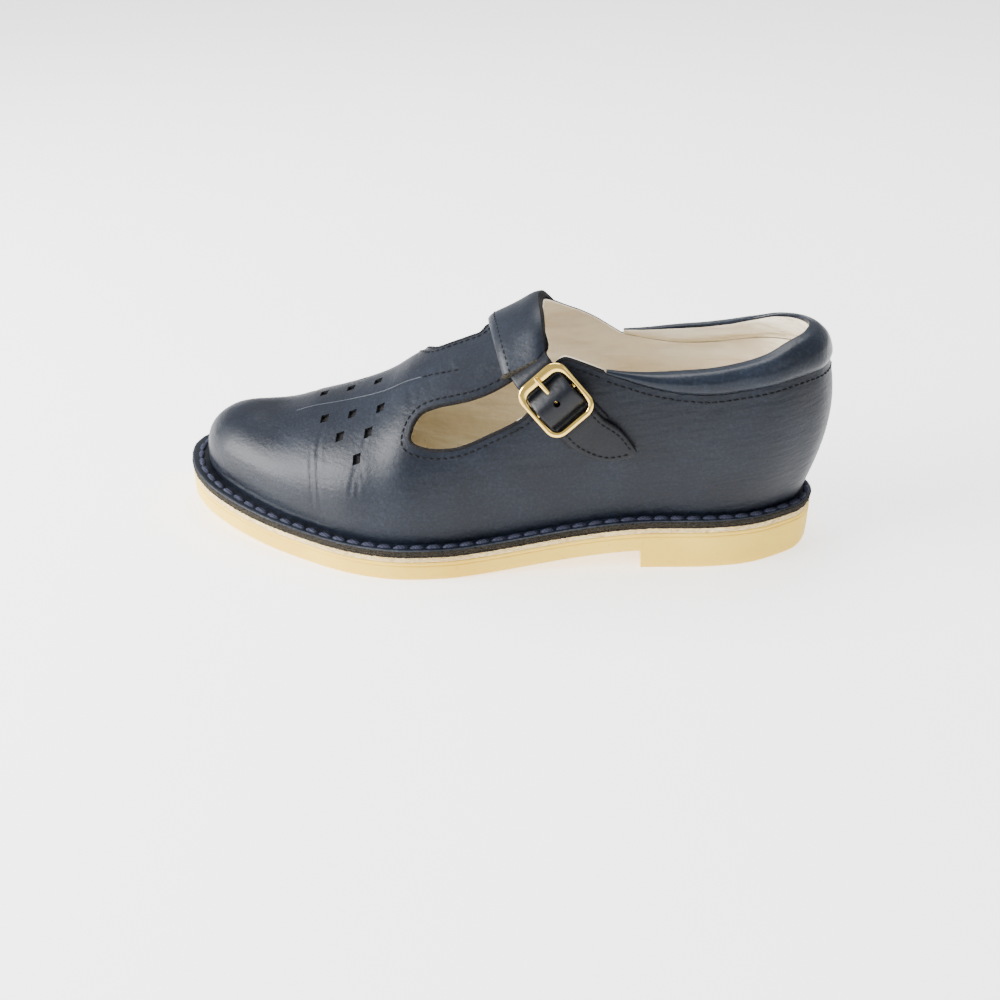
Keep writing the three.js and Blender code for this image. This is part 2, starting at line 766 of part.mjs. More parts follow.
function roundedRectangle(target, left, right, halfWidth, radius) {
  target.moveTo(left + radius, -halfWidth);
  target.lineTo(right - radius, -halfWidth);
  target.absarc(right - radius, -halfWidth + radius, radius, -Math.PI / 2, 0);
  target.lineTo(right, halfWidth - radius);
  target.absarc(right - radius, halfWidth - radius, radius, 0, Math.PI / 2);
  target.lineTo(left + radius, halfWidth);
  target.absarc(left + radius, halfWidth - radius, radius, Math.PI / 2, Math.PI);
  target.lineTo(left, -halfWidth + radius);
  target.absarc(left + radius, -halfWidth + radius, radius, Math.PI, 1.5 * Math.PI);
  return target;
}

function buckle() {
  const bevel = 0.25 * buckleHeight;
  const half = buckleLength / 2 - bevel;
  const outline = roundedRectangle(new THREE.Shape(), -half, half, buckleWidth / 2 - bevel, buckleCorner);
  const window = roundedRectangle(new THREE.Path(), -buckleLength / 2 + buckleFrontBar - bevel,
    buckleLength / 2 - buckleBar + bevel, buckleWidth / 2 - buckleBar + bevel, buckleCorner - buckleBar);
  outline.holes.push(window);
  const frame = new THREE.ExtrudeGeometry(outline, {
    depth: buckleHeight - 2 * bevel, bevelThickness: bevel, bevelSize: bevel, bevelSegments: 1, curveSegments: 4,
  });
  frame.translate(0, 0, -buckleHeight / 2 + bevel);
  return solidOf(frame.applyMatrix4(frameMatrix)).add(rodAcross(barDiameter / 2, buckleWidth - buckleBar));
}

// Leather tab that holds the buckle: a plate on the quarter and a loop round the bar, slotted for the prong
function chape() {
  const half = chapeThickness / 2;
  const stations = [0.04, 0.37, 0.68, 1].map(share => {
    const p = inFrame(share * chapeLength, 0, -buckleLift);
    const { point, normal } = overWall(p.x, p.z, 2.5 * gap + half);
    return { centre: point, across: FRAME.v.clone(), normal };
  });
  const plate = ribbon(stations, strapWidth + 2 * chapeMargin, chapeThickness, 10);
  const loopWidth = strapWidth - 2 * chapeMargin;
  const loop = rodAcross(ringRadius, loopWidth);
  const neckHeight = buckleLift - gap - chapeThickness - ringWall;
  const neck = new THREE.BoxGeometry(2 * ringRadius - ringWall, loopWidth, neckHeight);
  neck.translate(0, 0, neckHeight / 2 - buckleLift + gap + half);
  const slot = rodAcross(ringRadius + ringWall, prongDiameter + 2 * gap);
  const bore = rodAcross(barDiameter / 2 + gap, buckleWidth);
  return mainBody(plate.add(loop).add(solidOf(neck.applyMatrix4(frameMatrix))).subtract(slot).subtract(bore));
}

function upper() {
  const windows = [
    patch(patchRows(OUTER_WINDOW, 14, 6), -windowCut, windowCut),
    patch(patchRows(INNER_WINDOW, 14, 8), -windowCut, windowCut),
  ];
  const sunk = -wall / 2;
  const seam = gap / 2;
  const sleeveTop = (p, row, share) => {
    const edge = 1 - sleeveEdgeDrop * Math.abs(2 * share - 1) ** 6;
    return seam + (sleeveHeight - seam) * p.raise * edge;
  };
  const sleeve = patch(sleeveRows(), sunk, sleeveTop).subtract(strapBand(gap));
  const footDrop = 2 * (flangeThickness + gap) + wall;
  let solid = lastBody(0, lastingEdge).add(flangePlate()).subtract(lastBody(-wall, footDrop));
  solid = solid.subtract(topCutter(-1, [...TAB, ...SLEEVE_END])).subtract(topCutter(1, INNER_RISE));
  solid = solid.subtract(windows[0]).subtract(windows[1]).add(sleeve);
  for (const hole of [...punchedHoles(), strapBand(gap)]) solid = solid.subtract(hole);
  return mainBody(solid);
}

// Padded roll on the topline, from the outer side round the heel to the inner side
function collar() {
  const stations = [];
  const sideSteps = 8;
  const fanSteps = 18;
  for (let i = 0; i < sideSteps; i++) {
    const at = lerp(COLLAR.lateral[COLLAR.lateral.length - 1].at, heelCentreAt, i / sideSteps);
    stations.push(spokeAt(at, -Math.PI / 2));
  }
  for (let i = 0; i <= fanSteps; i++) stations.push(spokeAt(heelCentreAt, lerp(-Math.PI / 2, Math.PI / 2, i / fanSteps)));
  for (let i = sideSteps - 1; i >= 0; i--) {
    const at = lerp(COLLAR.medial[COLLAR.medial.length - 1].at, heelCentreAt, i / sideSteps);
    stations.push(spokeAt(at, Math.PI / 2));
  }
  const rings = stations.map(spoke => {
    const featherReach = reach(spoke, FEATHER);
    const level = COLLAR.lateral[0].seam * instepHeight;
    const at = Math.max(0, shareOf(wallPoint(spoke, featherReach, level, 0).x));
    const table = COLLAR[sideName(spoke.dy)];
    const seam = column(table, 'seam', at) * instepHeight + gap;
    const top = column(table, 'top', at) * instepHeight;
    const full = smoothstep(table[table.length - 1].at - at, -0.02, 0.11);
    const bulge = rollBulge * full;
    const thickness = lerp(wall, rollThickness, full);
    const profile = [
      [0.1 * bulge, 0],
      [0.9 * bulge, 0.3],
      [bulge, 0.6],
      [0.3 * bulge, 0.9],
      [-0.3 * thickness, 1],
      [-0.6 * thickness, 0.97],
      [bulge - thickness, 0.75],
      [bulge - thickness, 0.4],
      [-wall - 0.25 * bulge, 0.15],
      [0.7 * gap - wall, 0],
    ];
    return profile.map(([offset, share]) => wallPoint(spoke, featherReach, lerp(seam, top, share), offset));
  });
  return loft(rings);
}

const leather = { color: 0x232d40, roughness: 0.45, metalness: 0 };
const brass = { color: 0xd9b872, roughness: 0.22, metalness: 1 };
const shoe = new THREE.Group();

function addPiece(name, solid, look) {
  const mesh = solid.getMesh();
  const geometry = new THREE.BufferGeometry();
  geometry.setAttribute('position', new THREE.BufferAttribute(mesh.vertProperties, 3));
  geometry.setIndex(new THREE.BufferAttribute(mesh.triVerts, 1));
  geometry.computeVertexNormals();
  const piece = new THREE.Mesh(geometry, new THREE.MeshStandardMaterial(look));
  piece.name = name;
  shoe.add(piece);
}

addPiece('outsole', outsole(), { color: 0xe3cf94, roughness: 0.7, metalness: 0 });
addPiece('midsole', midsole(), { color: 0xc9ae7e, roughness: 0.9, metalness: 0 });
addPiece('insole', insole(), { color: 0xe6dcc0, roughness: 0.8, metalness: 0 });
addPiece('upper', upper(), leather);
addPiece('collar', collar(), { color: 0x1b2434, roughness: 0.35, metalness: 0 });
addPiece('strap', strap(), leather);
addPiece('buckle_chape', chape(), leather);
addPiece('buckle_frame', buckle(), brass);
addPiece('buckle_prong', prong(), brass);

// Origin at the middle of the footprint
const middle = new THREE.Box3().setFromObject(shoe).getCenter(new THREE.Vector3());
for (const piece of shoe.children) piece.geometry.translate(-middle.x, -middle.y, 0);

export default shoe;
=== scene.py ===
# Looks of a left T-bar mary jane shoe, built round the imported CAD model.
# Sizes are in millimetres until a mesh is made. The frame is the CAD's: toe to -X, outer side to -Y.
import math

import bpy
import numpy as np
from mathutils import Matrix, Vector


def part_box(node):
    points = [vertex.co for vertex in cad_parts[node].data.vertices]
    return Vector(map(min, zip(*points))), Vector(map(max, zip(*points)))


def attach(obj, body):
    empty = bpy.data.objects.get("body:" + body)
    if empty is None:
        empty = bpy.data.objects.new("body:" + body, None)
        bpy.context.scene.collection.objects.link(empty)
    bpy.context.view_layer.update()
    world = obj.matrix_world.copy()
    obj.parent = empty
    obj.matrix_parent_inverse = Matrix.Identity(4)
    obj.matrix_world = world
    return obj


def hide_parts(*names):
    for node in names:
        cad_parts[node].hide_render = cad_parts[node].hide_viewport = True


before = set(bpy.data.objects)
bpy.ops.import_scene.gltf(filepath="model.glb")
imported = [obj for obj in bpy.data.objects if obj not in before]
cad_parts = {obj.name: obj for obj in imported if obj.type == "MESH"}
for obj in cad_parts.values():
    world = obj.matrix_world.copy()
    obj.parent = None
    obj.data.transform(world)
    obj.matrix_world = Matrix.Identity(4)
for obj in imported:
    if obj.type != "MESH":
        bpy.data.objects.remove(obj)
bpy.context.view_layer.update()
rng = np.random.default_rng(11)

# Sole
sole_length = 267
ball_width = 95
outsole_thickness = 8.2
midsole_thickness = 3
insole_thickness = 2.5
heel_rise = 8.1
heel_length = 70.5
toe_spring = 8.5
sole_round = 1.2
heel_slope = (0.24, 0.56)
spring_start = 0.74
spring_power = 1.8
ledge_toe_span = (0.72, 0.97)
ledge_heel_span = (0.03, 0.3)

# Upper
wall = 2.2
outer_leather = 1.3
flange_thickness = 2.1
ledge_toe = 8
ledge_side = 5.5
ledge_heel = 4.5
instep_height = 80
heel_lean = 4.5
hole_long = 3.2
hole_wide = 4.2

# Strap, sleeve and buckle
strap_width = 16.4
strap_thickness = 2
band_thickness = 1.6
buckle_length = 24.8
buckle_width = 22
buckle_bar = 2.3
buckle_front_bar = 4
buckle_height = 2.4
bar_diameter = 2
prong_diameter = 1.8
chape_thickness = 1
chape_length = 19
chape_margin = 1.5
strap_hole = 2.6
strap_stitch_inset = 2
buckle_corner = 5.6
ring_wall = 1
buckle_lift = 6.1

# Collar roll
roll_thickness = 7
roll_bulge = 2.2

gap = 0.3
foot_drop = 0.6
window_cut = 6
toe_ease = 6
toe_ease_span = (0.77, 0.83)
toe_turn_span = (0.3, 0.75)
topline_ahead = 0.1
cutter_top = 2.5
skin_step = 1.5

# Stitches: pitch, then length, width and height of one, how deep it sits, and its thread
STITCHES = {
    "ledge": (6.5, (6.3, 2.5, 1.5), 0.35, "thread"),
    "fine": (2.7, (2.1, 0.75, 0.5), 0.12, "fine_thread"),
    "strap": (2.4, (1.9, 0.7, 0.5), 0.12, "fine_thread"),
}
border = 3.1
stitch_drop = 2.6
sleeve_stitch_inset = 3
vamp_seam_end = 0.6
sleeve_seam_end = 0.3

OUTLINE = {
    "at": [0.018, 0.053, 0.1, 0.16, 0.24, 0.32, 0.4, 0.48, 0.56, 0.63, 0.7, 0.77, 0.84, 0.9, 0.95, 0.983],
    "lateral": [0.095, 0.18, 0.255, 0.3, 0.325, 0.353, 0.39, 0.44, 0.494, 0.515, 0.485, 0.41, 0.325, 0.232,
                0.125, 0.0],
    "medial": [0.18, 0.265, 0.335, 0.375, 0.385, 0.36, 0.33, 0.33, 0.375, 0.425, 0.465, 0.485, 0.475, 0.45,
               0.41, 0.34],
}
heel_offset = 0.045
tip_offset = 0.19

LAST = {
    "at": [0.14, 0.3, 0.4, 0.46, 0.52, 0.58, 0.62, 0.66, 0.71, 0.78, 0.85],
    "side": [0.045, 0.04, 0.04, 0.045, 0.055, 0.065, 0.07, 0.08, 0.088, 0.1, 0.12],
    "crown": [1.15, 1.15, 1.08, 0.975, 0.89, 0.805, 0.73, 0.635, 0.555, 0.47, 0.375],
    "square": [3.3, 3.1, 2.8, 2.6, 2.5, 2.4, 2.35, 2.3, 2.3, 2.3, 2.45],
    "swell": [3.0, 1.2, 0.5, 0.5, 0.5, 0.5, 1.0, 1.0, 1.5, 1.5, 1.0],
}
COLLAR = {
    -1: {
        "at": [0, 0.058, 0.1, 0.17, 0.22, 0.268, 0.304, 0.331],
        "seam": [1.01, 0.998, 0.975, 0.938, 0.938, 0.965, 1.0, 1.027],
        "top": [1.18, 1.145, 1.105, 1.055, 1.035, 1.028, 1.034, 1.044],
    },
    1: {
        "at": [0, 0.058, 0.1, 0.17, 0.22, 0.268, 0.304],
        "seam": [1.01, 0.99, 0.965, 0.922, 0.915, 0.94, 0.97],
        "top": [1.18, 1.145, 1.1, 1.042, 1.02, 1.0, 0.995],
    },
}
TAB = {
    "at": [0.335, 0.362, 0.389, 0.398, 0.405, 0.421, 0.441, 0.466],
    "up": [1.04, 1.07, 1.091, 1.08, 1.049, 0.931, 0.822, 0.766],
}
SLEEVE_END = {"at": [0.466, 0.444, 0.415, 0.421, 0.432], "up": [0.97, 1.052, 1.112, 1.19, 1.275]}
INNER_RISE = {
    "at": [0.308, 0.325, 0.35, 0.373, 0.4, 0.424, 0.432],
    "up": [0.975, 1.015, 1.075, 1.12, 1.165, 1.22, 1.275],
}
OUTER_WINDOW = {
    "at": [0.455, 0.492, 0.519, 0.545, 0.575, 0.594, 0.605, 0.609],
    "inner": [-0.42, -0.452, -0.462, -0.46, -0.456, -0.463, -0.5, -0.55],
    "outer": [-0.645, -0.662, -0.68, -0.685, -0.665, -0.632, -0.6, -0.575],
}
INNER_WINDOW = {
    "at": [0.489, 0.496, 0.507, 0.517, 0.53, 0.556, 0.582, 0.597, 0.607, 0.611],
    "inner": [0.29, 0.21, 0.1, -0.02, -0.025, -0.025, -0.02, 0.04, 0.14, 0.25],
    "outer": [0.33, 0.405, 0.47, 0.515, 0.535, 0.54, 0.515, 0.475, 0.4, 0.29],
}
WINDOWS = {"outer_window": OUTER_WINDOW, "inner_window": INNER_WINDOW}
VAMP_CENTRE = {
    "at": [0.543, 0.591, 0.635, 0.662, 0.72, 0.779, 0.847],
    "across": [-0.285, -0.255, -0.21, -0.185, -0.14, -0.11, -0.11],
}
SLEEVE = {
    "at": [-0.41, -0.2, 0, 0.14, 0.3, 0.44],
    "front": [0.474, 0.491, 0.503, 0.505, 0.5, 0.486],
    "rear": [0.415, 0.422, 0.428, 0.42, 0.4, 0.385],
    "raise": [1, 1, 1, 0.75, 0.3, 0],
}
STRAP_TOP = [(0.46, -0.08), (0.452, -0.24), (0.443, -0.37)]
STRAP_TAIL = [(0.352, 0.748, 1.8, 1.0), (0.318, 0.685, 1.0, 0.86), (0.284, 0.643, 0.6, 0.16)]
sleeve_edge_drop = 0.35
buckle_at = 0.4
buckle_up = 0.915
buckle_slope = 0.52

# Punched holes of the vamp: three rows to a side
hole_rows = [3, 2, 1]
hole_centre_at = 0.7146
hole_pitch = 12.2
hole_first_row = 10
hole_row_pitch = 10.8
hole_slant = 0.22

heel_centre_at = LAST["at"][0]
toe_centre_at = LAST["at"][-1]
ring_radius = bar_diameter / 2 + gap + ring_wall
band_sides = 24
sleeve_height = strap_thickness + 2 * gap + band_thickness


def column(table, key, at):
    """Smooth value of a column at shares of the length, held beyond both ends of the table."""
    xs = np.array(table["at"], float)
    vs = np.array(table[key], float)
    slopes = np.empty_like(vs)
    slopes[1:-1] = (vs[2:] - vs[:-2]) / (xs[2:] - xs[:-2])
    slopes[0] = (vs[1] - vs[0]) / (xs[1] - xs[0])
    slopes[-1] = 0 if table is LAST else (vs[-1] - vs[-2]) / (xs[-1] - xs[-2])
    held = np.clip(np.asarray(at, float), xs[0], xs[-1])
    i = np.clip(np.searchsorted(xs, held, side="right") - 1, 0, len(xs) - 2)
    step = xs[i + 1] - xs[i]
    t = (held - xs[i]) / step
    rise = t * t * (3 - 2 * t)
    bend = slopes[i] * step * t * (1 - t) ** 2 - slopes[i + 1] * step * t * t * (1 - t)
    return vs[i] + (vs[i + 1] - vs[i]) * rise + bend


def along(at):
    return (0.5 - np.asarray(at, float)) * sole_length


def share_of(x):
    return 0.5 - np.asarray(x, float) / sole_length


def smooth(value, low, high):
    t = np.clip((np.asarray(value, float) - low) / (high - low), 0, 1)
    return t * t * (3 - 2 * t)


def catmull(points, per_span, closed=False):
    """Centripetal Catmull-Rom curve through points."""
    pts = np.asarray(points, float)
    n = len(pts)
    out = []
    for i in range(n if closed else n - 1):
        p1, p2 = pts[i], pts[(i + 1) % n]
        p0 = pts[i - 1] if closed or i > 0 else 2 * p1 - p2
        p3 = pts[(i + 2) % n] if closed or i + 2 < n else 2 * p2 - p1
        d0 = max(np.linalg.norm(p1 - p0) ** 0.5, 1e-4)
        d1 = max(np.linalg.norm(p2 - p1) ** 0.5, 1e-4)
        d2 = max(np.linalg.norm(p3 - p2) ** 0.5, 1e-4)
        m1 = ((p1 - p0) / d0 - (p2 - p0) / (d0 + d1) + (p2 - p1) / d1) * d1
        m2 = ((p2 - p1) / d1 - (p3 - p1) / (d1 + d2) + (p3 - p2) / d2) * d1
        t = np.linspace(0, 1, per_span, endpoint=False)[:, None]
        out.append(p1 + m1 * t + (3 * (p2 - p1) - 2 * m1 - m2) * t ** 2 + (2 * (p1 - p2) + m1 + m2) * t ** 3)
    if not closed:
        out.append(pts[-1:])
    return np.concatenate(out)


def run_of(points):
    """Distance run along a line at each of its points."""
    return np.concatenate([[0], np.cumsum(np.linalg.norm(np.diff(points, axis=0), axis=1))])


def at_run(s, run, values):
    """Values between the points of a line at distances along it."""
    return np.stack([np.interp(s, run, one) for one in values.T], axis=-1)


def resample(points, count, closed=False):
    """Points evenly spaced along a line."""
    pts = np.asarray(points, float)
    if closed:
        pts = np.vstack([pts, pts[:1]])
    run = run_of(pts)
    return at_run(np.linspace(0, run[-1], count, endpoint=not closed), run, pts)


def sole_outline():
    at = np.array(OUTLINE["at"])
    lateral = np.stack([along(at), -np.array(OUTLINE["lateral"]) * ball_width], axis=1)
    medial = np.stack([along(at), np.array(OUTLINE["medial"]) * ball_width], axis=1)[::-1]
    heel = [[along(0), heel_offset * ball_width]]
    tip = [[along(1), tip_offset * ball_width]]
    ring = np.concatenate([heel, lateral, tip, medial])
    return resample(catmull(ring, 60, closed=True), 1440, closed=True)


def ledge_at(at):
    toe = smooth(at, *ledge_toe_span)
    heel = 1 - smooth(at, *ledge_heel_span)
    return ledge_side + (ledge_toe - ledge_side) * toe + (ledge_heel - ledge_side) * heel


def inset(outline, amount):
    """An outline moved inwards along its own normals by an amount for each point."""
    ahead = np.roll(outline, -2, axis=0) - np.roll(outline, 2, axis=0)
    ahead /= np.linalg.norm(ahead, axis=1)[:, None]
    normal = np.stack([ahead[:, 1], -ahead[:, 0]], axis=1)
    return outline + normal * np.broadcast_to(amount, len(outline))[:, None]


SOLE = sole_outline()
FEATHER = inset(SOLE, ledge_at(share_of(SOLE[:, 0])))


def make_spokes(at, angle):
    at = np.asarray(at, float)
    angle = np.broadcast_to(angle, at.shape)
    spokes = {
        "at": at,
        "x": along(at),
        "y": column(LAST, "side", at) * ball_width,
        "dx": np.cos(angle),
        "dy": np.sin(angle),
    }
    spokes["reach"] = reach(spokes, FEATHER)
    return spokes


def reach(spokes, outline):
    """Distance along each spoke to an outline."""
    a = outline
    b = np.roll(outline, -1, axis=0)
    ax = a[:, 0] - spokes["x"][:, None]
    ay = a[:, 1] - spokes["y"][:, None]
    bx = (b - a)[:, 0]
    by = (b - a)[:, 1]
    dx = spokes["dx"][:, None]
    dy = spokes["dy"][:, None]
    det = bx * dy - by * dx
    det = np.where(np.abs(det) < 1e-12, 1e-12, det)
    t = (bx * ay - by * ax) / det
    s = (dx * ay - dy * ax) / det
    return np.where((s >= 0) & (s < 1) & (t > 0), t, 0).max(axis=1)


def all_spokes(side_count, fan_count):
    """Spokes all round: heel fan, outer side, toe fan, and back along the inner side."""
    halves = []
    for side in (-1, 1):
        step = math.pi / 2 / fan_count
        fan = (np.arange(fan_count) + 0.5) * step
        sides = np.linspace(heel_centre_at, toe_centre_at, side_count)
        at = np.concatenate([np.full(fan_count, heel_centre_at), sides, np.full(fan_count, toe_centre_at)])
        angle = side * np.concatenate([fan, np.full(side_count, math.pi / 2), math.pi / 2 + fan])
        if side > 0:
            at, angle = at[::-1], angle[::-1]
        halves.append((at, angle))
    return make_spokes(np.concatenate([h[0] for h in halves]), np.concatenate([h[1] for h in halves]))


def seat_height(at):
    heel = 1 - smooth(at, *heel_slope)
    spring = np.maximum(0, (np.asarray(at, float) - spring_start) / (1 - spring_start)) ** spring_power
    return outsole_thickness + gap + midsole_thickness + heel_rise * heel + toe_spring * spring


def feather_height(at):
    return seat_height(at) + gap + flange_thickness


def last_shape(spokes):
    """Exponent of the section, height of its foot and height of its ridge."""
    power = 2 / column(LAST, "square", spokes["at"])
    foot = feather_height(share_of(spokes["x"] + spokes["dx"] * spokes["reach"]))
    top = feather_height(spokes["at"]) + column(LAST, "crown", spokes["at"]) * instep_height
    return power, foot, top


def last_points(spokes, angle, offset):
    """Points of the last: angle 0 is the feather line and a quarter turn the ridge."""
    power, foot, top = last_shape(spokes)
    rise = (top - foot + offset) * np.sin(angle) ** power
    span = np.minimum(1.3 * instep_height, 0.9 * (top - foot))
    bulge = np.sin(math.pi * np.minimum(1, rise / span))
    swell = column(LAST, "swell", spokes["at"]) + heel_lean * np.maximum(0, spokes["dx"])
    r = (spokes["reach"] + offset) * np.maximum(np.cos(angle), 0) ** power + swell * bulge
    return np.stack([spokes["x"] + spokes["dx"] * r, spokes["y"] + spokes["dy"] * r, foot + rise], axis=-1)


def wall_points(spokes, z, offset):
    """Points of the last at heights over the floor."""
    power, foot, top = last_shape(spokes)
    share = np.clip((z - foot) / (top - foot), 0, 1)
    p = last_points(spokes, np.arcsin(share ** (1 / power)), 0)
    p[:, 0] += spokes["dx"] * offset
    p[:, 1] += spokes["dy"] * offset
    p[:, 2] = z
    return p


def skin(x, across):
    """Points of the last by station and distance over the surface from the ridge, medial positive."""
    x = np.asarray(x, float).ravel()
    across = np.asarray(across, float).ravel()
    side = np.where(across < 0, -1, 1)
    spokes = make_spokes(share_of(x), side * math.pi / 2)
    steps = 72
    rows = [last_points(spokes, np.full(len(x), math.pi / 2 * (1 - (k / steps) ** 1.4)), 0)
            for k in range(steps + 1)]
    rows = np.stack(rows, axis=1)
    run = np.concatenate([np.zeros((len(x), 1)),
                          np.cumsum(np.linalg.norm(np.diff(rows, axis=1), axis=2), axis=1)], axis=1)
    want = np.abs(across)
    k = np.clip((run < want[:, None]).sum(axis=1), 1, steps)
    i = np.arange(len(x))
    t = (want - run[i, k - 1]) / np.maximum(run[i, k] - run[i, k - 1], 1e-9)
    return rows[i, k - 1] + (rows[i, k] - rows[i, k - 1]) * t[:, None]


def unit(v):
    return v / np.maximum(np.linalg.norm(v, axis=-1, keepdims=True), 1e-12)


def skin_normal(x, across):
    x = np.asarray(x, float).ravel()
    across = np.asarray(across, float).ravel()
    lengthways = skin(x + skin_step, across) - skin(x - skin_step, across)
    sideways = skin(x, across + skin_step) - skin(x, across - skin_step)
    return unit(np.cross(lengthways, sideways))


def over_skin(x, across, height):
    return skin(x, across) + skin_normal(x, across) * np.reshape(height, (-1, 1))


def wall_at(x, side, z):
    x = np.atleast_1d(np.asarray(x, float))
    z = np.broadcast_to(np.asarray(z, float), x.shape)
    return wall_points(make_spokes(share_of(x), np.broadcast_to(side, x.shape) * math.pi / 2), z, 0)


def wall_normal(x, side, z):
    lengthways = wall_at(np.add(x, skin_step), side, z) - wall_at(np.subtract(x, skin_step), side, z)
    upwards = wall_at(x, side, np.add(z, skin_step)) - wall_at(x, side, np.subtract(z, skin_step))
    return -side * unit(np.cross(lengthways, upwards))


def over_wall(x, side, z, height):
    return wall_at(x, side, z) + wall_normal(x, side, z) * np.reshape(height, (-1, 1))


# The CAD's frame has its origin at the middle of the whole footprint
_cad_low, _cad_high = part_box("outsole")
ORIGIN = np.array([
    (SOLE[:, 0].min() + SOLE[:, 0].max()) / 2 - 500 * (_cad_low[0] + _cad_high[0]),
    (SOLE[:, 1].min() + SOLE[:, 1].max()) / 2 - 500 * (_cad_low[1] + _cad_high[1]),
    0,
])


def new_object(name, points, faces, materials, face_material=None, smooth_angle=40):
    """Mesh object from a closed solid in millimetres and the keys of its looks."""
    mesh = bpy.data.meshes.new(name)
    points = np.asarray(points, float)
    faces = turned_out(points, faces)
    corners = [tuple(p) for p in (points - ORIGIN) * 0.001]
    mesh.from_pydata(corners, [], [tuple(int(i) for i in f) for f in faces])
    for key in materials:
        mesh.materials.append(LOOKS[key])
    if face_material is not None:
        mesh.polygons.foreach_set("material_index", np.asarray(face_material, dtype=np.int32))
    mesh.validate()
    mesh.update()
    shade(mesh, smooth_angle)
    obj = bpy.data.objects.new(name, mesh)
    bpy.context.scene.collection.objects.link(obj)
    return obj


def shade(mesh, angle):
    mesh.polygons.foreach_set("use_smooth", np.ones(len(mesh.polygons), dtype=bool))
    mesh.set_sharp_from_angle(angle=math.radians(angle))
    mesh.update()


def finish_piece(obj, slot, *nodes):
    """The piece rides on the shoe's one body and may stand for nodes of the CAD."""
    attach(obj, "root")
    if nodes:
        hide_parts(*nodes)
    return obj


def grid_faces(rows, columns, start=0, wrap=False, flip=False):
    """Quads between rings of equal length."""
    faces = []
    for i in range(rows - 1):
        for j in range(columns if wrap else columns - 1):
            a = start + i * columns + j
            b = start + i * columns + (j + 1) % columns
            quad = (a, b, b + columns, a + columns)
            faces.append(quad[::-1] if flip else quad)
    return faces


def loft(rings):
    """Closed solid from rings: sides and two fan caps round their centres."""
    rings = [np.asarray(r, float) for r in rings]
    n = len(rings[0])
    points = np.concatenate(rings + [rings[0].mean(axis=0)[None], rings[-1].mean(axis=0)[None]])
    faces = grid_faces(len(rings), n, wrap=True)
    first = len(rings) * n
    base = (len(rings) - 1) * n
    for i in range(n):
        faces.append(((i + 1) % n, i, first))
        faces.append((base + i, base + (i + 1) % n, first + 1))
    return points, faces


def strip_cap(base, n, flip):
    """Cap that runs across from one half of a ring to the other."""
    faces = []
    for i in range(n // 2 - 1):
        quad = (base + i, base + n - 1 - i, base + n - 2 - i, base + i + 1)
        faces.append(quad[::-1] if flip else quad)
    return faces


def turned_out(points, faces):
    """Faces turned so that the solid's volume is positive."""
    corners = points[np.array([(f[0], f[i], f[i + 1]) for f in faces for i in range(1, len(f) - 1)])]
    volume = np.einsum("ij,ij->", corners[:, 0], np.cross(corners[:, 1], corners[:, 2]))
    return faces if volume > 0 else [f[::-1] for f in faces]


def cut(obj, points, faces, material):
    """Takes a solid away from an object; the cut faces get the cutter's material."""
    tool = new_object("cutter", points, faces, [material])
    mod = obj.modifiers.new("cut", "BOOLEAN")
    mod.operation = "DIFFERENCE"
    mod.solver = "MANIFOLD"
    mod.material_mode = "TRANSFER"
    mod.object = tool
    bpy.context.view_layer.objects.active = obj
    bpy.ops.object.modifier_apply(modifier=mod.name)
    bpy.data.objects.remove(tool, do_unlink=True)


def patch(x, across, low, high):
    """Closed solid over a grid of the last's skin, between two heights."""
    rows, columns = x.shape
    normal = skin_normal(x, across)
    base = skin(x, across)
    under = base + normal * np.reshape(np.broadcast_to(low, x.shape), (-1, 1))
    over = base + normal * np.reshape(np.broadcast_to(high, x.shape), (-1, 1))
    points = np.concatenate([under, over])
    top = rows * columns
    faces = grid_faces(rows, columns, flip=True) + grid_faces(rows, columns, start=top)
    rim = list(range(columns - 1))
    rim += [i * columns + columns - 1 for i in range(rows - 1)]
    rim += [(rows - 1) * columns + j for j in range(columns - 1, 0, -1)]
    rim += [i * columns for i in range(rows - 1, 0, -1)]
    for k, a in enumerate(rim):
        b = rim[(k + 1) % len(rim)]
        faces.append((a, b, b + top, a + top))
    return points, faces


def rim_kinds(faces, rows, columns):
    """Material of a patch's faces: 1 on its rim."""
    kinds = np.ones(len(faces), dtype=int)
    kinds[:2 * (rows - 1) * (columns - 1)] = 0
    return kinds


def window_grid(table, rows, columns):
    at = np.linspace(table["at"][0], table["at"][-1], rows)
    inner = column(table, "inner", at)
    outer = column(table, "outer", at)
    share = inner[:, None] + (outer - inner)[:, None] * np.linspace(0, 1, columns)[None]
    return np.repeat(along(at)[:, None], columns, axis=1), share * instep_height


def side_prism(outline, low, high):
    """Straight-sided solid from a side-view outline of (share, up) points."""
    pts = np.array([[along(at), up * instep_height] for at, up in outline])
    near = np.column_stack([pts[:, 0], np.full(len(pts), low), pts[:, 1]])
    far = np.column_stack([pts[:, 0], np.full(len(pts), high), pts[:, 1]])
    n = len(pts)
    faces = [tuple(range(n)), tuple(range(2 * n - 1, n - 1, -1))]
    faces += [(i, i + n, (i + 1) % n + n, (i + 1) % n) for i in range(n)]
    return np.concatenate([near, far]), faces


def topline_outline(side):
    table = COLLAR[side]
    at = np.linspace(-topline_ahead, table["at"][-1], 40)
    outline = [(-topline_ahead, cutter_top)] + list(zip(at, column(table, "seam", at)))
    for part in [TAB, SLEEVE_END] if side < 0 else [INNER_RISE]:
        outline += [tuple(p) for p in catmull(np.column_stack([part["at"], part["up"]]), 8)]
    return outline + [(outline[-1][0], cutter_top)]


def top_cutter(side):
    middle = float(column(LAST, "side", 0.45)) * ball_width
    if side < 0:
        return side_prism(topline_outline(side), -ball_width, middle + gap)
    return side_prism(topline_outline(side), middle - gap, ball_width)


def vamp_middle(x):
    return column(VAMP_CENTRE, "across", share_of(x)) * instep_height


